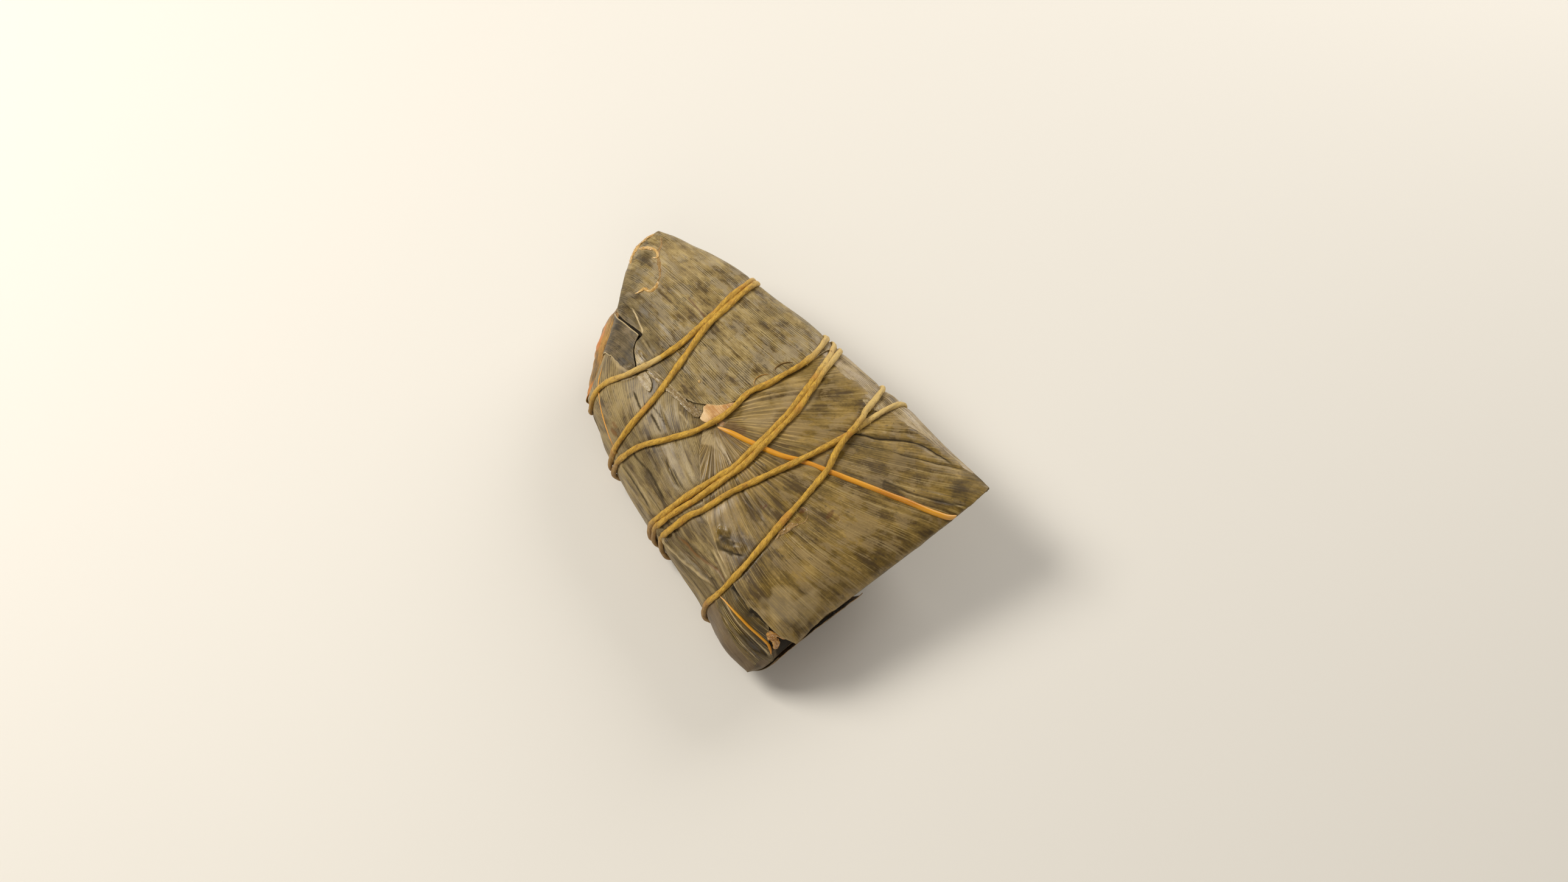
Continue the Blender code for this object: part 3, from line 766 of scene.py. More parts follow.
def paint(flat, marks, channel, spots):
    """Painted spots: (place, half width across, half width along, strength), with uneven edges; they lay
    painted shade, paleness, stains and wetness, each in its channel.
    """
    for place, wide, long, strength in spots:
        distance = np.linalg.norm((flat - flat_of(place)) / (wide, long), axis=-1)
        distance += 0.35 * noise(flat[..., 0] / (0.5 * wide), flat[..., 1] / (0.5 * long), 31)
        mark(marks, channel, strength * np.clip((1.15 - distance) / 0.35, 0, 1))


def draw(flat, marks, lines):
    """Painted lines: (channel, places, half width, strength), fading at their ends."""
    wobble = 1 + 0.4 * noise(flat[..., 0] / 1.1, flat[..., 1] / 1.1, 33)
    for channel, places, width, strength in lines:
        distance, fade = line_distance(flat, places, 0.12)
        mark(marks, channel, strength * np.clip(1.6 - distance / (width * wobble), 0, 1) * fade)


def uneven_border(run, reach, ragged, side):
    """How far a ragged border moves in, for points at `run` along it and `reach` away from it."""
    rough = (0.6 * noise(run / 2.2, 0 * run, 11 + side) + noise(run / 6.5, 0 * run, 21 + side)
             + 0.3 * noise(run / 0.8, 0 * run, 41 + side))
    return ragged * rough * np.exp(-reach / 6.0)


def border_sides(flat, s, t):
    """For each border, how far points are along it and away from it, and the sheet's size, in mm."""
    wide = np.linalg.norm(np.diff(flat, axis=1), axis=-1).sum(axis=1).mean()
    long = np.linalg.norm(np.diff(flat, axis=0), axis=-1).sum(axis=0).mean()
    run = [t * long, t * long, s * wide, s * wide]
    return run, [s * wide, (1 - s) * wide, t * long, (1 - t) * long], wide, long


def border_relief(sides, hems, skirt, rim, marks):
    """Relief of lifted hems and dipped skirts; the rims turn pale."""
    relief = 0
    for run, reach, hem, dip, paleness in zip(*sides, hems, skirt, rim):
        relief += hem * np.exp(-reach / 1.3) * (1 + 0.6 * noise(run / 7, 0 * run, 51))
        relief -= dip * np.exp(-(reach / 2.2) ** 2)
        mark(marks, PALE, paleness * np.exp(-(reach / 0.35) ** 2))
    return relief


def leaf_sheet(name, lift, veins, material, nodes, size, left, right, near, far, ragged=NONE,
               hems=NONE, skirt=NONE, rim=(0.3, 0.3, 0.3, 0.3), creases=(), lines=(), shade=(),
               stains=(), pale=(), wetness_and_shade=(), swell=(), ripple=0.10, thickness=LEAF,
               curl=((0, 0, 0), 1, 1)):
    """A thin leaf laid on the skin inside four borders.

    For each border, ragged says how uneven it is, hems how far it lifts off what it lies on, skirt
    how far it dips under its neighbour, all in mm, and rim how pale it is. swell lifts round places
    (place, reach, height), and curl moves the first corner (move, reach across, reach along).
    """
    borders = [smooth_line([(turn_of(a), b) for a, b in line]) for line in (left, right, near, far)]
    s, t = np.meshgrid(np.linspace(0, 1, size[0]), np.linspace(0, 1, size[1]))
    flat = sampled(FLAT, *np.moveaxis(patch(*borders, s, t), -1, 0))
    *sides, wide, long = border_sides(flat, s, t)
    inward = [uneven_border(*side) for side in zip(*sides, ragged, range(4))]
    s2 = (s + (inward[0] - inward[1]) / wide).clip(0, 1)
    t2 = (t + (inward[2] - inward[3]) / long).clip(0, 1)
    turn, along = np.moveaxis(patch(*borders, s2, t2), -1, 0)

    flat = sampled(FLAT, turn, along)
    w = veins(flat)
    l = np.linalg.norm(flat - flat_of(FAN_HUB), axis=-1) if veins is FAN_VEINS else flat[..., 1]
    marks = np.zeros((*s.shape, 4))
    relief = lift + sampled(GROUND, turn, along) + crease_relief(flat, creases, marks)
    relief += ripple * noise(w / 1.9, l / 22, 7) + 0.4 * ripple * noise(w / 0.8, l / 15, 8)
    for place, reach, height in swell:
        relief += height * np.exp(-(np.linalg.norm(flat - flat_of(place), axis=-1) / reach) ** 2)
    relief += border_relief(sides, hems, skirt, rim, marks)
    for channel, spots in enumerate((shade, pale, stains, wetness_and_shade)):
        paint(flat, marks, channel, spots)
    draw(flat, marks, lines)

    move, reach_s, reach_t = curl
    share = np.clip(1 - s / reach_s, 0, 1) * np.clip(1 - t / reach_t, 0, 1)
    points = lifted(eased(turn), along, relief) + share[..., None] * np.array(move)
    points[..., 2] = np.maximum(points[..., 2], FLOOR_GAP + thickness)
    piece = grid_piece(name, points)
    give_map(piece, np.stack([w, l], axis=-1))
    give_marks(piece, marks)
    thicken(piece, thickness)
    finish_piece(piece, material, nodes)


# Lines of places that several leaves and residues share
FAN_LINE = [(.422, .6), (.484, .56), (.591, .527), (.73, .495), (.843, .477), (.948, .474)]
FAN_SIDE = [(.182, 0), (.134, .035), (.117, .11), (.109, .22), (.122, .31), (.159, .397), (.214, .465),
            (.279, .522), (.392, .59)]
UPPER_SIDE = [(.418, .597), (.372, .64), (.337, .725), (.318, .79), (.24, .828), (.21, .99)]
SLIT = [(.249, .829), (.265, .832), (.286, .841), (.302, .856), (.326, .872), (.362, .879), (.4, .879)]
NOTCH = [(.337, .725), (.318, .79), (.3, .808), (.268, .826), (.291, .836), (.307, .851),
         (.33, .867), (.362, .874), (.394, .871), (.413, .866), (.418, .874), (.417, .886),
         (.411, .91), (.408, .944), (.417, .97), (.446, END)]
SEAM = [(.43, .999), (.402, .96), (.398, .92), (.404, .885), (.412, .866)]
RIDGE = [(.014, .456), (.014, .417), (.02, .361), (.03, .297), (.049, .228)]
HOLLOW = [(.028, .46), (.029, .417), (.035, .361), (.045, .297), (.061, .228)]
RUST_LINE = [(.044, .418), (.053, .377), (.055, .337), (.068, .288), (.083, .251), (.084, .21)]
RUST_EDGE = [(across + .003, along) for across, along in RUST_LINE]
FOLD_A = [(.7, .335), (.761, .3), (.801, .268), (.833, .24), (.862, .223), (.889, .206), (.914, .187),
          (.935, .165), (.95, .14), (.955, .126), (.964, .106), (.967, .082)]
FOLD_B = [(.76, .27), (.808, .223), (.839, .198), (.863, .17), (.897, .14), (.924, .115), (.954, .091),
          (.982, .066), (.996, .03)]
BEAD_LINE = [(.842, .98), (.847, .969), (.853, .953), (.838, .939)]
THREAD_LINE = [(.948, .973), (.888, .947), (.841, .938), (.782, .914), (.737, .898)]
RIM_LINE = [(.487, .936), (.467, .914), (.447, .894), (.433, .877)]
FLAP_LINE = [(.397, .862), (.387, .83), (.379, .8)]


def make_skin():
    """The rice block's own wrapping, closed all round."""
    turn, rise = np.meshgrid(np.linspace(0, 2, 321)[:-1], np.linspace(0, 1, 221))
    along = 0.4 * rise + 0.6 * eased(rise * (1 - 1e-9))
    flat = sampled(FLAT, turn, along)
    folds = SKIN_FOLDS * np.maximum(0, noise(flat[..., 0] / 5, flat[..., 1] / 40, 61))
    relief = sampled(GROUND, turn, along) + np.where((turn > 1.02) & (turn < 1.98), folds, 0)
    safe = np.clip(np.minimum(along, 1 - along) / 0.01, 0, 1)
    points = lifted(eased(turn), along, relief * safe)
    points[..., 2] = np.maximum(points[..., 2], 0.02)
    piece = grid_piece("inner_wrap", points, closed=True)
    give_map(piece, flat)
    marks = np.zeros((*turn.shape, 4))
    # Painted shade: thin dark lines along the wrap
    marks[..., DARK] = 0.7 * np.exp(-(noise(flat[..., 0] / 9, flat[..., 1] / 90, 62) / 0.03) ** 2)
    # Painted shadow in the hollow under the corner flap (SEAM), and under the near edge and the flap's tip
    draw(flat, marks, [(DARK, SEAM, 2.2, 1),
                       (DARK, [(.08, .05), (.115, .02), (.15, .008), (.2, .004), (.28, .004)], 4.5, 1),
                       (DARK, [(.09, -.01), (.15, -.02), (.28, -.02)], 3, 1)])
    give_marks(piece, marks)
    finish_piece(piece, inner_green, ["parcel"])


def make_corner_leaf():
    """The lower leaf that bulges out under the far left edge."""
    s, t = np.meshgrid(np.linspace(0, 1, 60), np.linspace(0, 1, 90))
    across = 0.06 + 0.44 * t
    top = skin(across, np.ones_like(s)) - (0, 0, 1.2)
    rim = np.concatenate([on_line(smooth_line(CORNER_LEAF), t), (8.0 + 4.0 * t)[..., None]], axis=-1)
    tuck = lifted(2.0 - across - 0.02, 0.965 - 0.03 * t, np.full(s.shape, 1.2))
    turn = np.pi * s[..., None]
    ends = (top + tuck) / 2
    points = ends + (top - tuck) / 2 * np.cos(turn) + (rim - ends) * np.sin(turn)
    folds = 0.5 * noise(t * 9, s * 1.5, 71) + 0.25 * noise(t * 22, s * 2, 72)
    points += unit(points - ends) * folds[..., None] * np.sin(turn)
    points[..., 2] = np.maximum(points[..., 2], 0.05)
    piece = grid_piece("corner_wrap", points[:, ::-1])
    marks = np.zeros((*s.shape, 4))
    rust = (noise(t * 3.5, s * 8, 73) + 0.5 * noise(t * 8, s * 22, 74))[:, ::-1]
    marks[..., STAIN] = np.clip(rust * 2.4 - 0.6, 0, 0.8)
    give_map(piece, np.stack([s * 18, t * 34], axis=-1)[:, ::-1])
    give_marks(piece, marks)
    thicken(piece, LEAF)
    finish_piece(piece, corner_straw, ["corner_leaf"])


make_skin()
leaf_sheet("left_wrap", LOW, LEFT_VEINS, left_green, ["left_leaf"], size=(170, 320),
    left=[(-.1, .215), (-.1, END)],
    right=[(.14, .2), (.145, .3), (.195, .42), (.32, .54), (.43, .6), (.42, .66), (.38, .74),
        (.35, .82), (.33, .9), (.33, END)],
    near=[(-.1, .215), (0, .211), (.108, .196), (.15, .2)],
    far=[(-.1, END), (.33, END)],
    ragged=(.3, 0, 0, 0), skirt=(0, 0, .2, 0),
    creases=[
        ([(.022, .5), (.024, .436), (.03, .369), (.041, .287), (.05, .2)], -.5, .7, .8),
        ([(.046, .48), (.052, .438), (.06, .366), (.072, .296), (.09, .235)], -.5, .8, .9),
        ([(.037, .45), (.044, .36), (.055, .29), (.068, .22)], .5, .9, 0),
        ([(.165, .6), (.141, .544), (.139, .482)], -.25, .5, .6),
        ([(.071, .64), (.065, .557), (.063, .493)], -.3, .6, .6),
        ([(.046, .6), (.046, .52), (.045, .47)], -.3, .6, .6),
        ([(.013, .52), *RIDGE], 1.0, 1.2, 0),
        (HOLLOW, -.8, .9, .9),
        ([(.098, .32), (.09, .273), (.087, .242), (.086, .214)], -.4, .6, .8),
        ([(.161, .645), (.143, .55), (.13, .5)], -.2, .5, .3),
        ([(.262, .7), (.235, .62), (.225, .57)], -.25, .5, .5),
        ([(.012, .74), (.012, .6), (.012, .3)], .35, 1.0, 0)],
    lines=[
        # Painted shadow in the slit beside the corner flap
        (DARK, [(.249, .829), (.286, .838), (.305, .853), (.328, .869)], 1.0, 1),
        (DARK, [(.204, .805), (.191, .766), (.18, .728)], .3, .9),
        (DARK, [(.208, .712), (.205, .681), (.199, .647)], .3, .9),
        (DARK, [(.153, .587), (.145, .542), (.137, .497)], .28, .9),
        (DARK, [(.159, .556), (.151, .511), (.149, .474)], .2, .8),
        (DARK, [(.1, .76), (.112, .7), (.118, .64), (.112, .58)], .2, .6),
        (DARK, [(.23, .74), (.236, .69), (.232, .64)], .2, .6),
        (DARK, [(.06, .738), (.074, .663), (.084, .6), (.079, .553), (.073, .508)], .45, .85),
        (DARK, [(.017, .721), (.024, .657), (.025, .602), (.022, .534)], .4, .8),
        (PALE, [(.028, .7), (.033, .65), (.034, .6), (.031, .534)], .3, .3),
        (PALE, [(.311, .644), (.31, .618), (.31, .592)], .2, .5),
        # Painted shadow in the hollow under the corner flap
        (DARK, SEAM, 2.4, 1),
        (STAIN, RUST_LINE, .3, .9),
        (DARK, RUST_EDGE, .3, .75),
        (PALE, RIDGE, .4, .55),
        (PALE, [(.105, .31), (.099, .273), (.097, .242), (.095, .214)], .25, .5),
        (DARK, HOLLOW, .6, .8),
        (PALE, [(.225, .95), (.222, .9), (.232, .87), (.245, .84)], .9, .35)],
    shade=[((-.02, .5), 6, 45, .36), ((.02, .3), 6, 14, .32), ((.06, .68), 9, 12, .25),
        ((.03, .4), 5, 10, .4)],
    stains=[((.063, .805), .7, 1.6, .8), ((.047, .795), .8, 1.8, .9)])
leaf_sheet("end_band", LOW, END_VEINS, end_brown, [], size=(60, 100),
    left=[(-.1, START), (-.1, .222)],
    right=[(.07, START), (.06, .05), (.06, .21)],
    near=[(-.1, START), (.07, START)],
    far=[(-.1, .222), (0, .219), (.06, .21)],
    ripple=.05, rim=(0, 0, .1, 0),
    swell=[((0, .055), 9, 1.0), ((.04, .003), 5, .5)])
leaf_sheet("end_wrap", LOW + .3, END_VEINS, end_green, ["end_leaf"], size=(110, 160),
    left=[(.04, START), (.025, .016), (.022, .045), (.024, .085), (.03, .141), (.036, .208)],
    right=[(.083, START), (.089, .014), (.098, .03), (.117, .045), (.127, .07), (.135, .12),
        (.15, .206)],
    near=[(.04, START), (.083, START)],
    far=[(.036, .208), (.108, .203), (.15, .206)],
    ripple=.12, rim=(.1, .1, 0, 0), hems=(.12, 0, 0, 0),
    creases=[
        ([(.053, .19), (.054, .126), (.059, .076), (.066, .034), (.072, .004)], -.45, .7, .9),
        ([(.042, .185), (.046, .12), (.048, .07), (.052, .01)], .35, .7, 0),
        ([(.031, .181), (.037, .14), (.034, .101), (.038, .052), (.045, .013)], -.45, .6, .9),
        ([(.104, .195), (.111, .165), (.103, .108), (.113, .096), (.117, .067), (.123, .043)], -.55, .8,
         1),
        ([(.092, .185), (.09, .13), (.096, .08), (.104, .05)], .35, 1.0, 0)],
    lines=[
        (PALE, [(.062, .185), (.06, .126), (.064, .076), (.071, .034), (.079, .006)], .28, .6),
        (PALE, [(.036, .16), (.034, .101), (.036, .052), (.045, .01)], .22, .5),
        # Painted shadow in the dark slot beside the flap
        (DARK, [(.1, .191), (.106, .17), (.11, .148)], .7, 1),
        (DARK, [(.107, .118), (.119, .081), (.122, .053)], 1.1, 1)],
    wetness_and_shade=[((.06, .02), 4, 4, 1), ((.05, .08), 5, 9, .6)],
    swell=[((.02, .045), 8, .5)])
leaf_sheet("fan_wrap", MIDDLE, FAN_VEINS, fan_green, ["fan_leaf"], size=(320, 320),
    left=[(.17, START), (.152, .009), (.134, .022), (.125, .042), (.121, .064), (.119, .09),
        (.114, .115), (.109, .15), (.107, .185), (.109, .22), (.113, .282), (.122, .31), (.135, .343),
        (.159, .397), (.214, .465), (.279, .522), (.352, .56), (.392, .59)],
    right=[(1.01, START), (1.01, .04), (1.0, .09), (.985, .15), (.965, .22), (.958, .33), (.95, .4),
        (.945, .5)],
    near=[(.17, START), (.6, START), (1.01, START)],
    far=[(.392, .59), (.48, .58), (.587, .548), (.726, .515), (.839, .5), (.945, .5)],
    ragged=(.1, 0, .25, 0), hems=(.1, 0, 0, 0), skirt=(0, .3, 0, .3), rim=(.35, 0, .15, 0),
    curl=((-.7, -1.7, .6), .11, .11),
    creases=[
        ([(.367, .529), (.349, .492), (.344, .455), (.326, .42), (.311, .38), (.304, .326),
         (.299, .261)], -.3, .5, .8),
        ([(.299, .362), (.296, .329), (.301, .298), (.301, .257)], -.25, .45, .5),
        (FOLD_A, -.38, .8, 1),
        ([(.79, .285), (.825, .256), (.865, .236), (.905, .206), (.935, .18)], .5, 1.2, 0),
        (FOLD_B, -.38, .6, .95),
        ([(.757, .127), (.782, .093), (.814, .065), (.846, .038), (.881, .013), (.905, .003)], -.4, .7,
         .8),
        ([(.735, .15), (.77, .11), (.82, .075), (.87, .03)], .25, 1.0, 0),
        ([(.125, .29), (.14, .27), (.16, .245), (.185, .222)], -.08, .7, .9),
        ([(.14, .296), (.155, .28), (.175, .258), (.198, .235)], .4, 1.0, 0),
        ([(.145, .322), (.158, .305), (.176, .285)], -.08, .7, .8),
        ([(.158, .335), (.168, .322), (.188, .3)], .35, 1.0, 0),
        ([(.388, .398), (.388, .374), (.388, .34)], -.2, .4, .4),
        ([(.433, .415), (.433, .361)], -.2, .4, .4),
        ([(.863, .255), (.912, .231), (.953, .196), (.98, .141)], .35, 1.0, 0)],
    lines=[
        (PALE, [(.125, .385), (.12, .35), (.115, .325), (.113, .3), (.112, .265), (.107, .235)], .3, .7),
        (WET, [(.118, .345), (.115, .325), (.118, .315)], .8, 1),
        (DARK, [(.129, .317), (.127, .294), (.141, .268), (.156, .248)], .7, .8),
        (DARK, [(.148, .312), (.158, .287), (.175, .264)], .7, .7),
        (DARK, [(.42, .515), (.44, .49), (.47, .445), (.52, .37), (.57, .31), (.64, .225), (.72, .135),
         (.79, .045)], 1.3, .35),
        (STAIN, [(.41, .53), (.43, .5), (.46, .455)], 2.4, .45),
        (DARK, [*FOLD_A[:9], *FOLD_A[10:]], .28, .95),
        (DARK, FOLD_B, .2, .6),
        (DARK, [(.735, .29), (.79, .235), (.84, .185), (.89, .135)], 2.2, .3),
        (DARK, [(.726, .165), (.751, .136), (.778, .101), (.807, .07), (.833, .045), (.863, .023),
         (.899, .005)], .3, .7)],
    shade=[((.985, .05), 2.5, 5, .3), ((.95, .03), 6, 4, .22)],
    stains=[((.338, .287), .9, .35, 1), ((.327, .295), .35, .3, .9), ((.512, .166), 1.7, .9, .7),
        ((.524, .15), 1.2, .8, .35), ((.437, .216), 1.0, .8, .7), ((.407, .206), 1.2, .9, .6),
        ((.372, .395), 1.6, .9, .3)],
    pale=[((.425, .53), 1.8, 1.4, .35), ((.335, .475), 1.8, 3.0, .2), ((.335, .535), 2.2, 3.5, .45),
        ((.352, .495), 1.6, 4.0, .35), ((.325, .55), 1.6, 2.0, .5), ((.19, .06), 5, 6, .3),
        ((.25, .03), 6, 4, .25), ((.56, .47), 6, 5, .18), ((.74, .43), 8, 5, .16)],
    wetness_and_shade=[((.155, .325), 2, 2, .7), ((.36, .205), 6, 3, 1)])
leaf_sheet("edge_wrap", MIDDLE + .08, BAND_VEINS, band_grey, ["edge_leaf"], size=(90, 200),
    left=[(.998, .035), (.987, .068), (.983, .1), (.973, .142), (.955, .178), (.935, .22), (.922, .3),
        (.926, .38), (.925, .5)],
    right=[(1.1, .035), (1.1, .5)],
    near=[(.998, .035), (1.1, .035)],
    far=[(.925, .5), (1.1, .5)],
    ragged=(.5, .3, 0, 0), skirt=(.12, 0, .3, .3), rim=(.15, .1, 0, 0))
leaf_sheet("upper_wrap", HIGH, UPPER_VEINS, upper_green, ["upper_leaf"], size=(320, 360),
    left=[(.418, .597), (.372, .64), *NOTCH],
    right=[(1.1, .47), (1.1, END)],
    near=[*FAN_LINE, (1.1, .466)],
    far=[(.446, END), (.8, END), (1.1, END)],
    ragged=(.12, .3, .2, 0), hems=(.1, 0, .1, 0), rim=(.25, .2, .3, 0),
    creases=[
        ([(.54, .97), (.524, .915), (.53, .834), (.516, .772)], .3, .9, 0),
        ([(.505, .99), (.487, .96), (.475, .935)], -.5, .8, .9),
        ([(.521, .966), *RIM_LINE, (.418, .869)], .4, .4, 0),
        ([(.455, .93), (.438, .9), (.424, .885)], -.4, .7, .5),
        (FLAP_LINE, .4, .5, 0),
        ([(.407, .855), (.396, .825), (.39, .8)], -.35, .4, .8),
        ([(.355, .85), (.34, .83), (.35, .8)], .3, .8, 0),
        ([(.47, .783), (.484, .737), (.5, .69)], .25, .8, 0),
        ([(.438, .762), (.444, .716), (.45, .68)], -.25, .6, .5)],
    lines=[
        # A painted glint: a thin pale line along the bright fold, on a wet strip
        (PALE, [*RIM_LINE, (.418, .869)], .1, 1),
        (WET, RIM_LINE, .5, 1),
        (PALE, FLAP_LINE, .2, .3),
        # A pale crescent painted in as a lavender glint beside the notch
        (PALE, [(.331, .852), (.314, .838), (.321, .821), (.334, .816)], .6, .35),
        (STAIN, [(.726, .806), (.716, .78), (.705, .745), (.703, .737)], .3, .9),
        (PALE, [(.724, .8), (.714, .775)], .2, .5),
        (PALE, [*THREAD_LINE, (.672, .894), (.629, .905), (.594, .933)], 1.1, .22),
        (PALE, [*BEAD_LINE, (.802, .944)], 1.5, .3)],
    shade=[((.46, .95), 7, 12, .45), ((.466, .866), 4, 6, .25), ((.4, .84), 4, 6, .5),
        ((.6, .985), 12, 5, .35), ((.8, .96), 4, 3.5, .55), ((.36, .76), 5, 8, .35),
        ((.56, .9), 5, 9, .15)],
    pale=[((.88, .88), 10, 11, .17)],
    wetness_and_shade=[((.325, .83), 1.2, 1.5, .6)])
leaf_sheet("corner_fold", HIGH - .1, plain_veins, flap_grey, ["corner_flap"], size=(80, 80),
    left=[(.249, .829), (.234, .86), (.225, .89), (.212, .929), (.206, .974), (.206, END)],
    right=[(.4, .879), (.401, .887), (.397, .914), (.397, .942), (.403, .975), (.436, END)],
    near=SLIT,
    far=[(.206, END), (.436, END)],
    ragged=(.6, 0, .1, 0), hems=(.1, .5, 0, 0), rim=(.8, .9, .1, 0),
    creases=[
        ([(.23, .88), (.25, .86), (.28, .845)], .2, .8, 0)])
leaf_sheet("near_tuck", 1.2, plain_veins, tuck_brown, ["under_leaf"], size=(90, 16),
    left=[(1.55, .045), (1.55, START)],
    right=[(1.93, .05), (1.93, START)],
    near=[(1.55, .045), (1.93, .05)],
    far=[(1.55, START), (1.93, START)],
    ragged=(.3, .3, .6, .5), thickness=.2)
make_corner_leaf()


# ---------------------------------------------------------------- twine

TWINE_HALF = TWINE / 2 * TWINE_FLAT - 0.14
ROPE_SIDES, ROPE_STEP = 20, 0.38
FIBRES = 170


def side_at(line, along):
    """Where a line of places crosses `along`."""
    return np.interp(along, *np.array(line)[:, ::-1].T)


def leaf_top(across, along):
    """Height over the skin of the uppermost leaf at places on the top."""
    fold = np.interp(across, *zip(*FAN_LINE))
    near = np.where(across > side_at(FAN_SIDE, along), MIDDLE, LOW)
    far = np.where(across > side_at(UPPER_SIDE, along), HIGH, LOW)
    return np.where(along > fold, far, near) + LEAF


def twine_route():
    """Guide points of the twine: across (falling by 2 each turn), along, lift and 1 on the top."""
    guides = [(*FAR_END, 0, 0)]
    for turn, run in enumerate(PASSES):
        guides += [(across - 2 * turn, along, extra, 1) for across, along, extra in run]
        for following in PASSES[turn + 1:turn + 2]:
            start, end = run[-1][1], following[0][1]
            for share in np.linspace(0.08, 0.92, 12):
                leave = max(0.0, share - 0.06 * (1 - share) ** 6)
                guides.append((-share - 2 * turn, start + (end - start) * leave, 0, 0))
    return guides + [(NEAR_END[0] - 2 * len(PASSES), NEAR_END[1], 0, 0)]


def even_steps(points, step):
    """The same curve with points a fixed step apart, and each point's distance from its start."""
    far = distances(points)
    at = np.linspace(0, far[-1], max(3, int(far[-1] / step)))
    return np.stack([np.interp(at, far, column) for column in points.T], axis=-1), at


def frames_along(points):
    """Two cross directions at each point, without twist."""
    tangent = unit(np.gradient(points, axis=0))
    side = np.zeros_like(points)
    side[0] = unit(np.cross(tangent[0], (0, 0, 1.0)))
    for k in range(1, len(points)):
        side[k] = unit(side[k - 1] - tangent[k] * (side[k - 1] @ tangent[k]))
    return side, np.cross(tangent, side)


def rope(name, points, diameter, pitch, step=ROPE_STEP, seed=0, plies=3, lump=0.10, out=None,
         flatness=1.0, relief=0.38):
    """A twisted cord through the points, with a groove between its plies.

    With `out`, the directions away from the skin, the cord is pressed flat on what it lies on.
    """
    if out is None:
        points, at = even_steps(points, step)
        side, up = frames_along(points)
    else:
        both, at = even_steps(np.hstack([points, out * 1e-3]), step)
        points, up = both[:, :3], both[:, 3:] * 1e3
        tangent = unit(np.gradient(points, axis=0))
        side = unit(np.cross(tangent, up))
        up = np.cross(side, tangent)
    angle = np.linspace(0, 2 * np.pi, ROPE_SIDES + 1)[:-1]
    far = at[:, None]
    twist = 2 * np.pi * (far / pitch + 0.12 * noise(far / 17, 0 * far, 81 + seed))
    local = (np.mod((angle - twist) * plies / (2 * np.pi), 1.0) - 0.5) * 2 * np.pi / plies
    around = np.mod(angle - twist, 2 * np.pi)
    grain = noise(far / 1.1, around * 1.6, 82 + seed) + 0.6 * noise(far / 0.8, around * 4, 83 + seed)
    ends = np.clip(np.minimum(far, at[-1] - far) / (0.4 * diameter), 0.02, 1)
    radius = (diameter / 2 * (1 - relief + relief * np.cos(local)) * np.sqrt(1 - (1 - ends) ** 2)
              * (1 + lump * grain + 0.09 * noise(far / 5, 0 * far, 84 + seed)
                 + 0.05 * noise(far / 1.9, 0 * far, 85 + seed)))
    ring = side[:, None] * np.cos(angle)[:, None] + up[:, None] * np.sin(angle)[:, None] * flatness
    piece = grid_piece(name, points[:, None] + ring * radius[..., None], closed=True)
    give_map(piece, np.stack(np.broadcast_arrays((angle - twist) * diameter / 2, far), axis=-1))
    return piece, points, at


def make_twine():
    dense = smooth_line([(turn_of(across), *rest) for across, *rest in twine_route()])[1]
    far = distances(skin(eased(dense[:, 0]), dense[:, 1]))
    even = np.arange(0, far[-1], 0.4)
    turn, along, extra, on_top = (np.interp(even, far, column) for column in dense.T)
    across = eased(turn)
    folded = np.mod(turn + 0.6, 2.0) - 0.6
    edge = np.exp(-((np.mod(turn + 0.5, 1.0) - 0.5) / 0.07) ** 2)
    bed = leaf_top(np.mod(across, 2.0), along) + sampled(GROUND, folded, along)
    lift = np.where(on_top > 0.5, bed, 0.15) + extra + TWINE_HALF - 0.45 * edge
    lift = np.convolve(np.pad(lift, 6, 'edge'), np.ones(13) / 13, 'valid')
    points = lifted(across, along, lift, reach=0.02)
    points[:, 2] = np.maximum(points[:, 2], TWINE / 2 + 0.15)
    out = normals(across, along, reach=0.02)
    piece, centre, at = rope("tying_twine", points, TWINE, 26.0, plies=2, lump=0.085, out=out,
                             flatness=TWINE_FLAT, relief=0.2)
    x, _, height = centre.T
    pale = np.clip((height - 31) / 3, 0, 1) * np.clip((x - 26) / 10, 0, 1)
    first = np.clip(1 - at / 95, 0, 1) * (x < -12) * (height > 20)
    marks = np.zeros((len(centre), ROPE_SIDES, 4))
    # Painted shade: darker where the twine runs low, down the sides and under the parcel
    marks[..., DARK] = 0.7 * np.clip((24 - height) / 10, 0, 1)[:, None]
    marks[..., PALE] = np.maximum(0.55 * pale, np.clip(2 * first, 0, 0.8))[:, None]
    give_marks(piece, marks)
    finish_piece(piece, TWINE_MATERIAL, ["twine"])
    stray_fibres(centre, out, even)


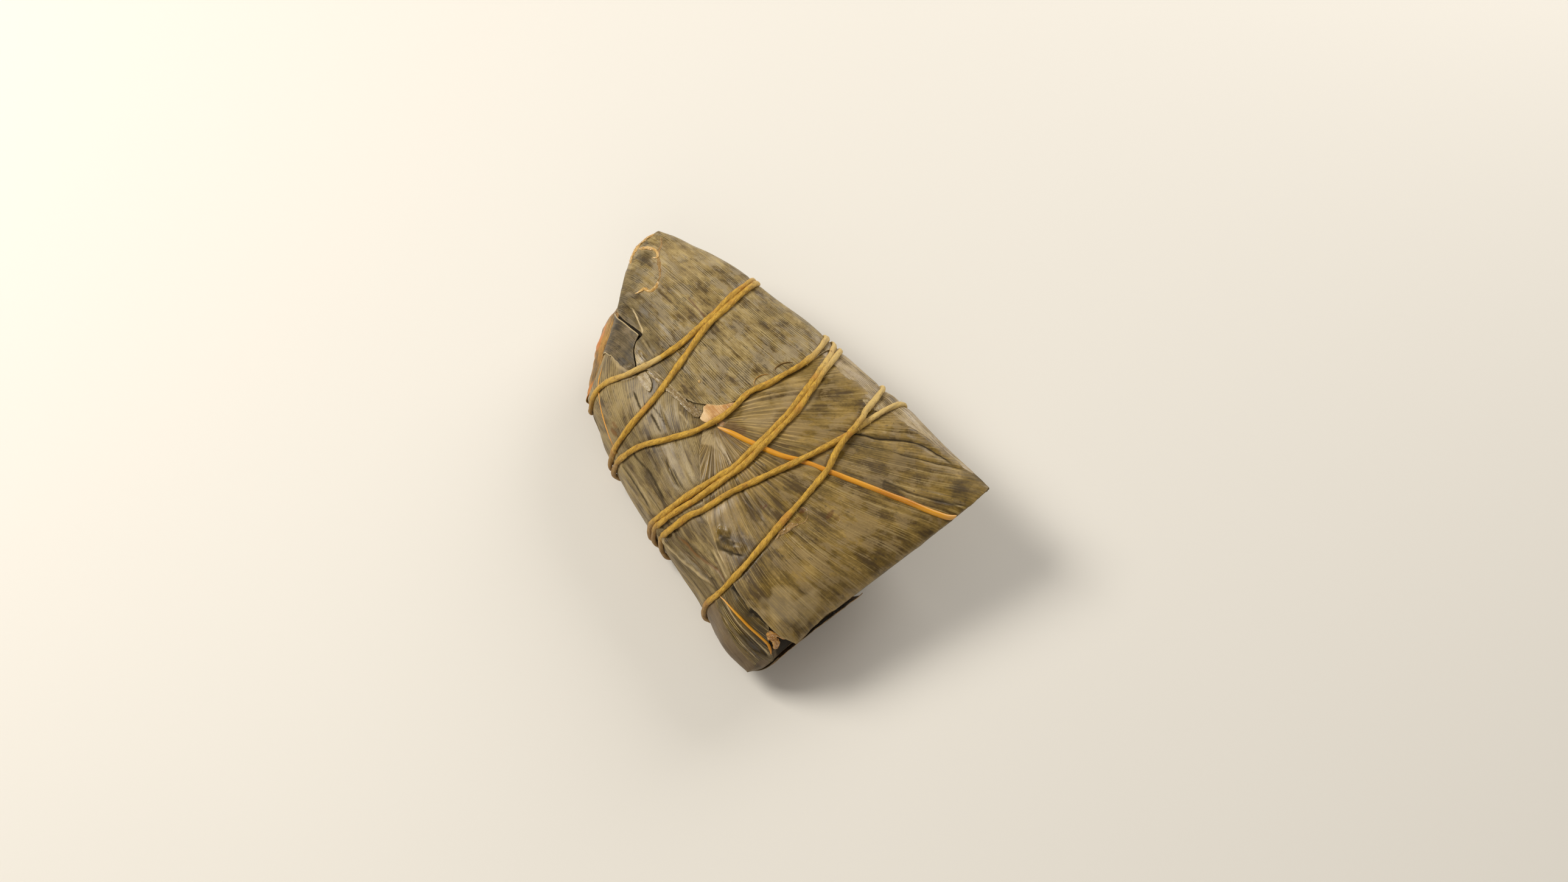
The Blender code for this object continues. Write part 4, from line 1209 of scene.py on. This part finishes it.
def stray_fibres(centre, out, even):
    """Short three-sided fibres that stand off the twine."""
    draws = np.random.default_rng(11)
    share = np.linspace(0, 1, 5)[:, None]
    angle = 2 * np.pi * np.arange(3)[:, None] / 3
    fibres = []
    for _ in range(FIBRES):
        k = draws.integers(4, len(centre) - 6)
        tangent = unit(centre[k + 2] - centre[k - 2])
        up = out[np.searchsorted(even, k * ROPE_STEP).clip(0, len(out) - 1)]
        side = np.cross(tangent, up) * draws.choice([-1, 1])
        lean = unit(side * draws.uniform(0.5, 1.0) + up * draws.uniform(0.0, 0.45)
                    + tangent * draws.normal(0, 0.8))
        start = centre[k] + (side * 0.8 + up * 0.2) * TWINE / 2 * 0.85
        length, bend = draws.uniform(0.5, 1.7), draws.normal(0, 0.5)
        line = start + lean * length * share + (tangent * bend - up * 0.2) * share ** 2
        across = unit(np.cross(lean, up))
        ring = across * np.cos(angle) + np.cross(across, lean) * np.sin(angle)
        fibres.append(line[:, None] + (0.055 * (1 - 0.6 * share))[..., None] * ring)
    index = np.arange(FIBRES * 15).reshape(FIBRES, 5, 3)[:, :-1]
    following = np.roll(index, -1, axis=2)
    quads = np.stack([index, following, following + 3, index + 3], axis=-1)
    piece = new_piece("twine_fibres", placed(np.reshape(fibres, (-1, 3))).tolist(),
                      quads.reshape(-1, 4).tolist())
    material = Recipe("twine_fibre").set(Base_Color=srgb(214, 182, 100), Roughness=0.6)
    finish_piece(piece, material)


def make_knot(name, place, node, seed):
    """A small overhand knot: one short cord wound on itself."""
    turn = np.linspace(0, 2 * np.pi, 90)
    trefoil = np.stack([np.sin(turn) + 2 * np.sin(2 * turn), np.cos(turn) - 2 * np.cos(2 * turn),
                        -1.1 * np.sin(3 * turn)], axis=-1)
    across, along = np.array(place)[:, None]
    centre = lifted(across, along, [0.55 + KNOT[2]])[0]
    out = centre - skin(across, along)[0]
    rotation = np.array(Vector(out).to_track_quat('Z', 'Y').to_matrix())
    scale = np.array(KNOT) / (3.0, 3.0, 1.1) * (0.78, 0.72, 0.42)
    piece, _, _ = rope(name, (trefoil * scale) @ rotation.T + centre, 1.5, 9.0, seed=seed, step=0.4)
    marks = np.zeros((len(piece.data.vertices), 4))
    # Painted shade: the knots sit under the parcel's edges
    marks[:, DARK] = 0.5
    give_marks(piece, marks)
    finish_piece(piece, TWINE_MATERIAL, [node])


make_twine()
make_knot("far_tie", FAR_KNOT, "far_knot", 3)
make_knot("near_tie", NEAR_KNOT, "near_knot", 5)


# ---------------------------------------------------------------- midrib, stalk and residues

RESIDUE = {"taper": (0.3, 0.3), "wobble": 0.4, "uneven": 0.4, "step": 0.25, "smooth": 5}


def strip(name, line, width, height, lift, material, slot, nodes=(), taper=(0.3, 0.3), seed=0,
          wobble=0.05, pale_ends=(0, 0), sides=13, step=0.6, uneven=0.0, smooth=25):
    """A raised half-round strip laid on the leaves along a line of places."""
    turn, along = smooth_line([(turn_of(a), b) for a, b in line])[1].T
    ground = np.pad(sampled(GROUND, turn, along), smooth // 2, 'edge')
    ground = np.convolve(ground, np.ones(smooth) / smooth, 'valid')
    path = lifted(eased(turn), along, lift + ground)
    both, at = even_steps(np.hstack([path, normals(eased(turn), along) * 10]), step)
    path, out = both[:, :3], unit(both[:, 3:])
    side = np.cross(unit(np.gradient(path, axis=0)), out)
    at = at[:, None]
    left = at[-1] - at
    ends = np.clip(at / at[-1] / taper[0], 0, 1) * np.clip(left / at[-1] / taper[1], 0, 1)
    size = (0.12 + 0.88 * np.sqrt(ends)) * (1 + wobble * noise(at / 5, 0 * at, 91 + seed))
    angle = np.linspace(-0.12, np.pi + 0.12, sides)
    half = width / 2 * size * (1 + wobble * noise(at / 2.4, angle, 92 + seed)
                               + uneven * noise(at / 0.9, 2 * angle, 93 + seed))
    level = 1 - 0.6 * pale_ends[1] * np.clip(1 - left / 4, 0, 1)
    rise = height * size * level * (1 + uneven * noise(at / 0.8, 3 * angle, 94 + seed))
    surface = (path[:, None] + side[:, None] * (np.cos(angle) * half)[..., None]
               + out[:, None] * (np.sin(angle) * rise)[..., None])
    piece = grid_piece(name, surface[:, ::-1])
    give_map(piece, np.stack(np.broadcast_arrays(angle[::-1] * width / 2, at), axis=-1))
    marks = np.zeros((*half.shape, 4))
    marks[..., PALE] = np.maximum(pale_ends[0] * np.clip(1 - at / 5, 0, 1),
                                  pale_ends[1] * np.clip(1 - left / 6, 0, 1))
    give_marks(piece, marks)
    finish_piece(piece, material, nodes)


def residue(name, line, width, height, lift, material, seed, **changes):
    """A strip of rice water that has set, more uneven than a rib."""
    strip(name, line, width, height, lift, material, "stalk", seed=seed, **(RESIDUE | changes))


strip("midrib_strip", [(.398, .531), (.412, .511), (.428, .488), (.453, .446), (.508, .362),
    (.562, .308), (.63, .225), (.713, .127), (.748, .086), (.781, .043), (.803, .021), (.822, .008),
    (.838, .003), (.85, .002)], 1.8, .85, MIDDLE + LEAF - .03, RIB_MATERIAL, "midrib", ["midrib"],
    taper=(.06, .03), pale_ends=(.4, .5))
strip("end_rib", [(.05, .205), (.063, .17), (.074, .118), (.08, .074), (.086, .043), (.09, .025),
    (.087, .014), (.082, .007)], .9, .5, LOW + .3 + LEAF - .03, RIB_MATERIAL, "midrib", taper=(.5, .1),
    seed=3, pale_ends=(1, 0))
strip("left_vein", [(.15, .972), (.132, .968), (.096, .958), (.071, .94), (.039, .882), (.026, .827),
    (.02, .769), (.02, .745)], .6, .3, LOW + LEAF - .03, RIB_MATERIAL, "midrib", taper=(.2, .4), seed=5)
residue("tip_smear", [(.969, .995), (.93, .9975), (.88, .998), (.834, .998), (.78, .997), (.735, .99)],
    2.8, .8, TOP - .1, CREAM, 7, taper=(.25, .3), wobble=.3, uneven=.35, step=.3)
residue("tip_bead", [(.835, .99), *BEAD_LINE, (.818, .932), (.802, .944)], 1.3, .5, TOP - .05, CREAM, 9,
    taper=(.2, .25), wobble=.3)
residue("tip_thread", [*THREAD_LINE, (.708, .896), (.672, .894)], 1.0, .16, TOP - .05, FILM, 11,
    taper=(.2, .1), wobble=.3, uneven=.3, step=.3)
residue("tip_line", [(.708, .896), (.672, .894), (.629, .905), (.624, .922), (.594, .933), (.57, .945)],
    1.0, .4, TOP - .05, CREAM, 13, wobble=.3, uneven=.45)
residue("side_trail", [(.312, .797), (.319, .785), (.328, .756), (.338, .718), (.345, .677),
    (.352, .64), (.357, .612), (.361, .586)], 1.9, .16, TOP - .2, CLEAR, 15, taper=(.15, .1),
    wobble=.35, uneven=.3, step=.3, smooth=9, sides=17)
residue("trail_rim_a", [(.308, .797), (.317, .756), (.327, .718), (.335, .677), (.343, .64),
    (.349, .612)], .55, .3, TOP - .15, MILKY, 39, taper=(.2, .2), smooth=9)
residue("trail_rim_b", [(.33, .8), (.339, .756), (.349, .718), (.356, .677), (.362, .64), (.366, .615)],
    .5, .3, TOP - .15, MILKY, 41, taper=(.2, .2), smooth=9)
residue("hub_trail", [(.36, .64), (.366, .612), (.372, .59), (.385, .578)], 2.4, .3, TOP - .2, CLEAR,
    17, wobble=.35, uneven=.5, step=.3, smooth=9, sides=17)
residue("twine_gel", [(.18, .862), (.205, .85), (.235, .833), (.262, .82)], 1.6, .35, LOW + LEAF - .05,
    MILKY, 19, wobble=.3, uneven=.3, step=.3, smooth=9)
residue("right_film", [(.905, .33), (.917, .305), (.925, .285), (.932, .268)], 2.0, .14,
    MIDDLE + LEAF + .02, MILKY, 43, taper=(.4, .4), step=.3)
residue("near_gel", [(.3, .203), (.325, .206), (.35, .205), (.375, .203), (.398, .196)], 1.8, .3,
    ON_FAN, FILM, 21, uneven=.6)
residue("near_ring", [(.398, .196), (.42, .19), (.44, .196), (.453, .212), (.44, .224), (.412, .23)],
    .45, .16, ON_FAN, FILM, 23, taper=(.2, .3))
residue("spot_ring", [(.53, .154), (.533, .147), (.527, .14), (.517, .139)], .4, .14,
    ON_FAN, FILM, 25, step=.2)
residue("end_gel", [(.102, .048), (.11, .035), (.112, .022), (.108, .012), (.1, .008)], 2.4, .6,
    LOW + LEAF, AMBER, 27, wobble=.5, uneven=.22, sides=17)
residue("end_gel_fold", [(.112, .04), (.122, .03), (.134, .017), (.14, .01)], 1.3, .7, LOW + LEAF + .2,
    AMBER, 29, wobble=.5, uneven=.22)
residue("loop_one", [(.635, .522), (.64, .532), (.661, .536), (.689, .531), (.715, .519)], .3, .5, TOP,
    CREAM, 31, wobble=.05, uneven=0, step=.3)
residue("loop_two", [(.742, .508), (.745, .518), (.775, .517), (.804, .509), (.822, .5)], .3, .5, TOP,
    FILM, 33, wobble=.05, uneven=0, step=.3)
residue("crumb", [(.461, .646), (.464, .65), (.468, .653)], 1.0, .6, TOP, CREAM, 35, taper=(.5, .5),
    wobble=.3, step=.2)
leaf_sheet("gel_flag", LOW + LEAF + .05, plain_veins, MILKY, [], size=(40, 40),
    left=[(.249, .778), (.25, .795), (.257, .815)],
    right=[(.262, .752), (.285, .757), (.303, .777), (.305, .8)],
    near=[(.249, .778), (.255, .76), (.262, .752)],
    far=[(.257, .815), (.28, .812), (.305, .8)],
    ragged=(.2, .2, .2, .2), hems=(.1, .1, .1, .1), ripple=.1)
residue("hub_film", [(.408, .534), (.42, .53), (.434, .524)], 2.2, .3, ON_FAN, HUB_GEL, 37,
    taper=(.4, .4), sides=17)
leaf_sheet("stalk_scrap", MIDDLE + LEAF + .05, plain_veins, STALK, ["leaf_stalk"], size=(70, 40),
    left=[(.353, .58), (.383, .586), (.4, .595), (.425, .594)],
    right=[(.52, .53), (.528, .538)],
    near=[(.353, .58), (.372, .562), (.406, .549), (.45, .545), (.5, .532), (.52, .53)],
    far=[(.425, .594), (.447, .58), (.474, .562), (.528, .538)],
    ragged=(.8, .2, .3, .2), hems=(.35, 0, .1, 0), ripple=.12)

# ---------------------------------------------------------------- floor, lights and camera

FLOOR_HALF = 3.0
AIM = Vector((0, 0, 0.02))                       # what the lights point at
CAMERA_PLACE = Vector((-154.79, -280.25, 587.83)) * MM
CAMERA_FORWARD = Vector((0.24886, 0.41268, -0.87622)).normalized()
CAMERA_RIGHT = Vector((0.85202, -0.52348, -0.00456))
CAMERA_LENS = 44.87


def make_floor():
    half = FLOOR_HALF
    corners = [(-half, -half, 0), (half, -half, 0), (half, half, 0), (-half, half, 0)]
    floor = new_piece("pale_floor", corners, [(0, 1, 2, 3)])
    floor.data.materials.append(Recipe("floor_paint").set(Base_Color=srgb(226, 222, 214), Roughness=0.8))


def area_light(name, place, size, power, colour):
    data = bpy.data.lights.new(name, 'AREA')
    data.size = size
    data.energy = power
    data.color = colour
    light = bpy.data.objects.new(name, data)
    bpy.context.scene.collection.objects.link(light)
    light.location = place
    light.rotation_euler = (AIM - Vector(place)).to_track_quat('-Z', 'Y').to_euler()


def make_camera():
    right = (CAMERA_RIGHT - CAMERA_FORWARD * CAMERA_RIGHT.dot(CAMERA_FORWARD)).normalized()
    turn = Matrix((right, right.cross(CAMERA_FORWARD), -CAMERA_FORWARD)).transposed()
    data = bpy.data.cameras.new("photo_view")
    data.sensor_width = 36.0
    data.lens = CAMERA_LENS
    data.clip_start = 0.01
    camera = bpy.data.objects.new("photo_view", data)
    bpy.context.scene.collection.objects.link(camera)
    camera.matrix_world = Matrix.Translation(CAMERA_PLACE) @ turn.to_4x4()
    bpy.context.scene.camera = camera


def make_studio():
    area_light("key", (-0.45, 0.55, 0.75), 0.42, 9.0, (1.0, 0.96, 0.89))
    area_light("rim", (0.75, 0.25, 0.45), 0.5, 4.4, (1.0, 0.97, 0.92))
    area_light("fill", (-0.4, -0.7, 0.6), 0.8, 2.0, (1.0, 0.94, 0.86))
    world = bpy.data.worlds.new("studio")
    world.use_nodes = True
    colour, strength = world.node_tree.nodes["Background"].inputs[:2]
    colour.default_value = (1.0, 0.955, 0.895, 1)
    strength.default_value = 0.22
    bpy.context.scene.world = world
    bpy.context.scene.view_settings.view_transform = 'Standard'


make_floor()
make_camera()
make_studio()
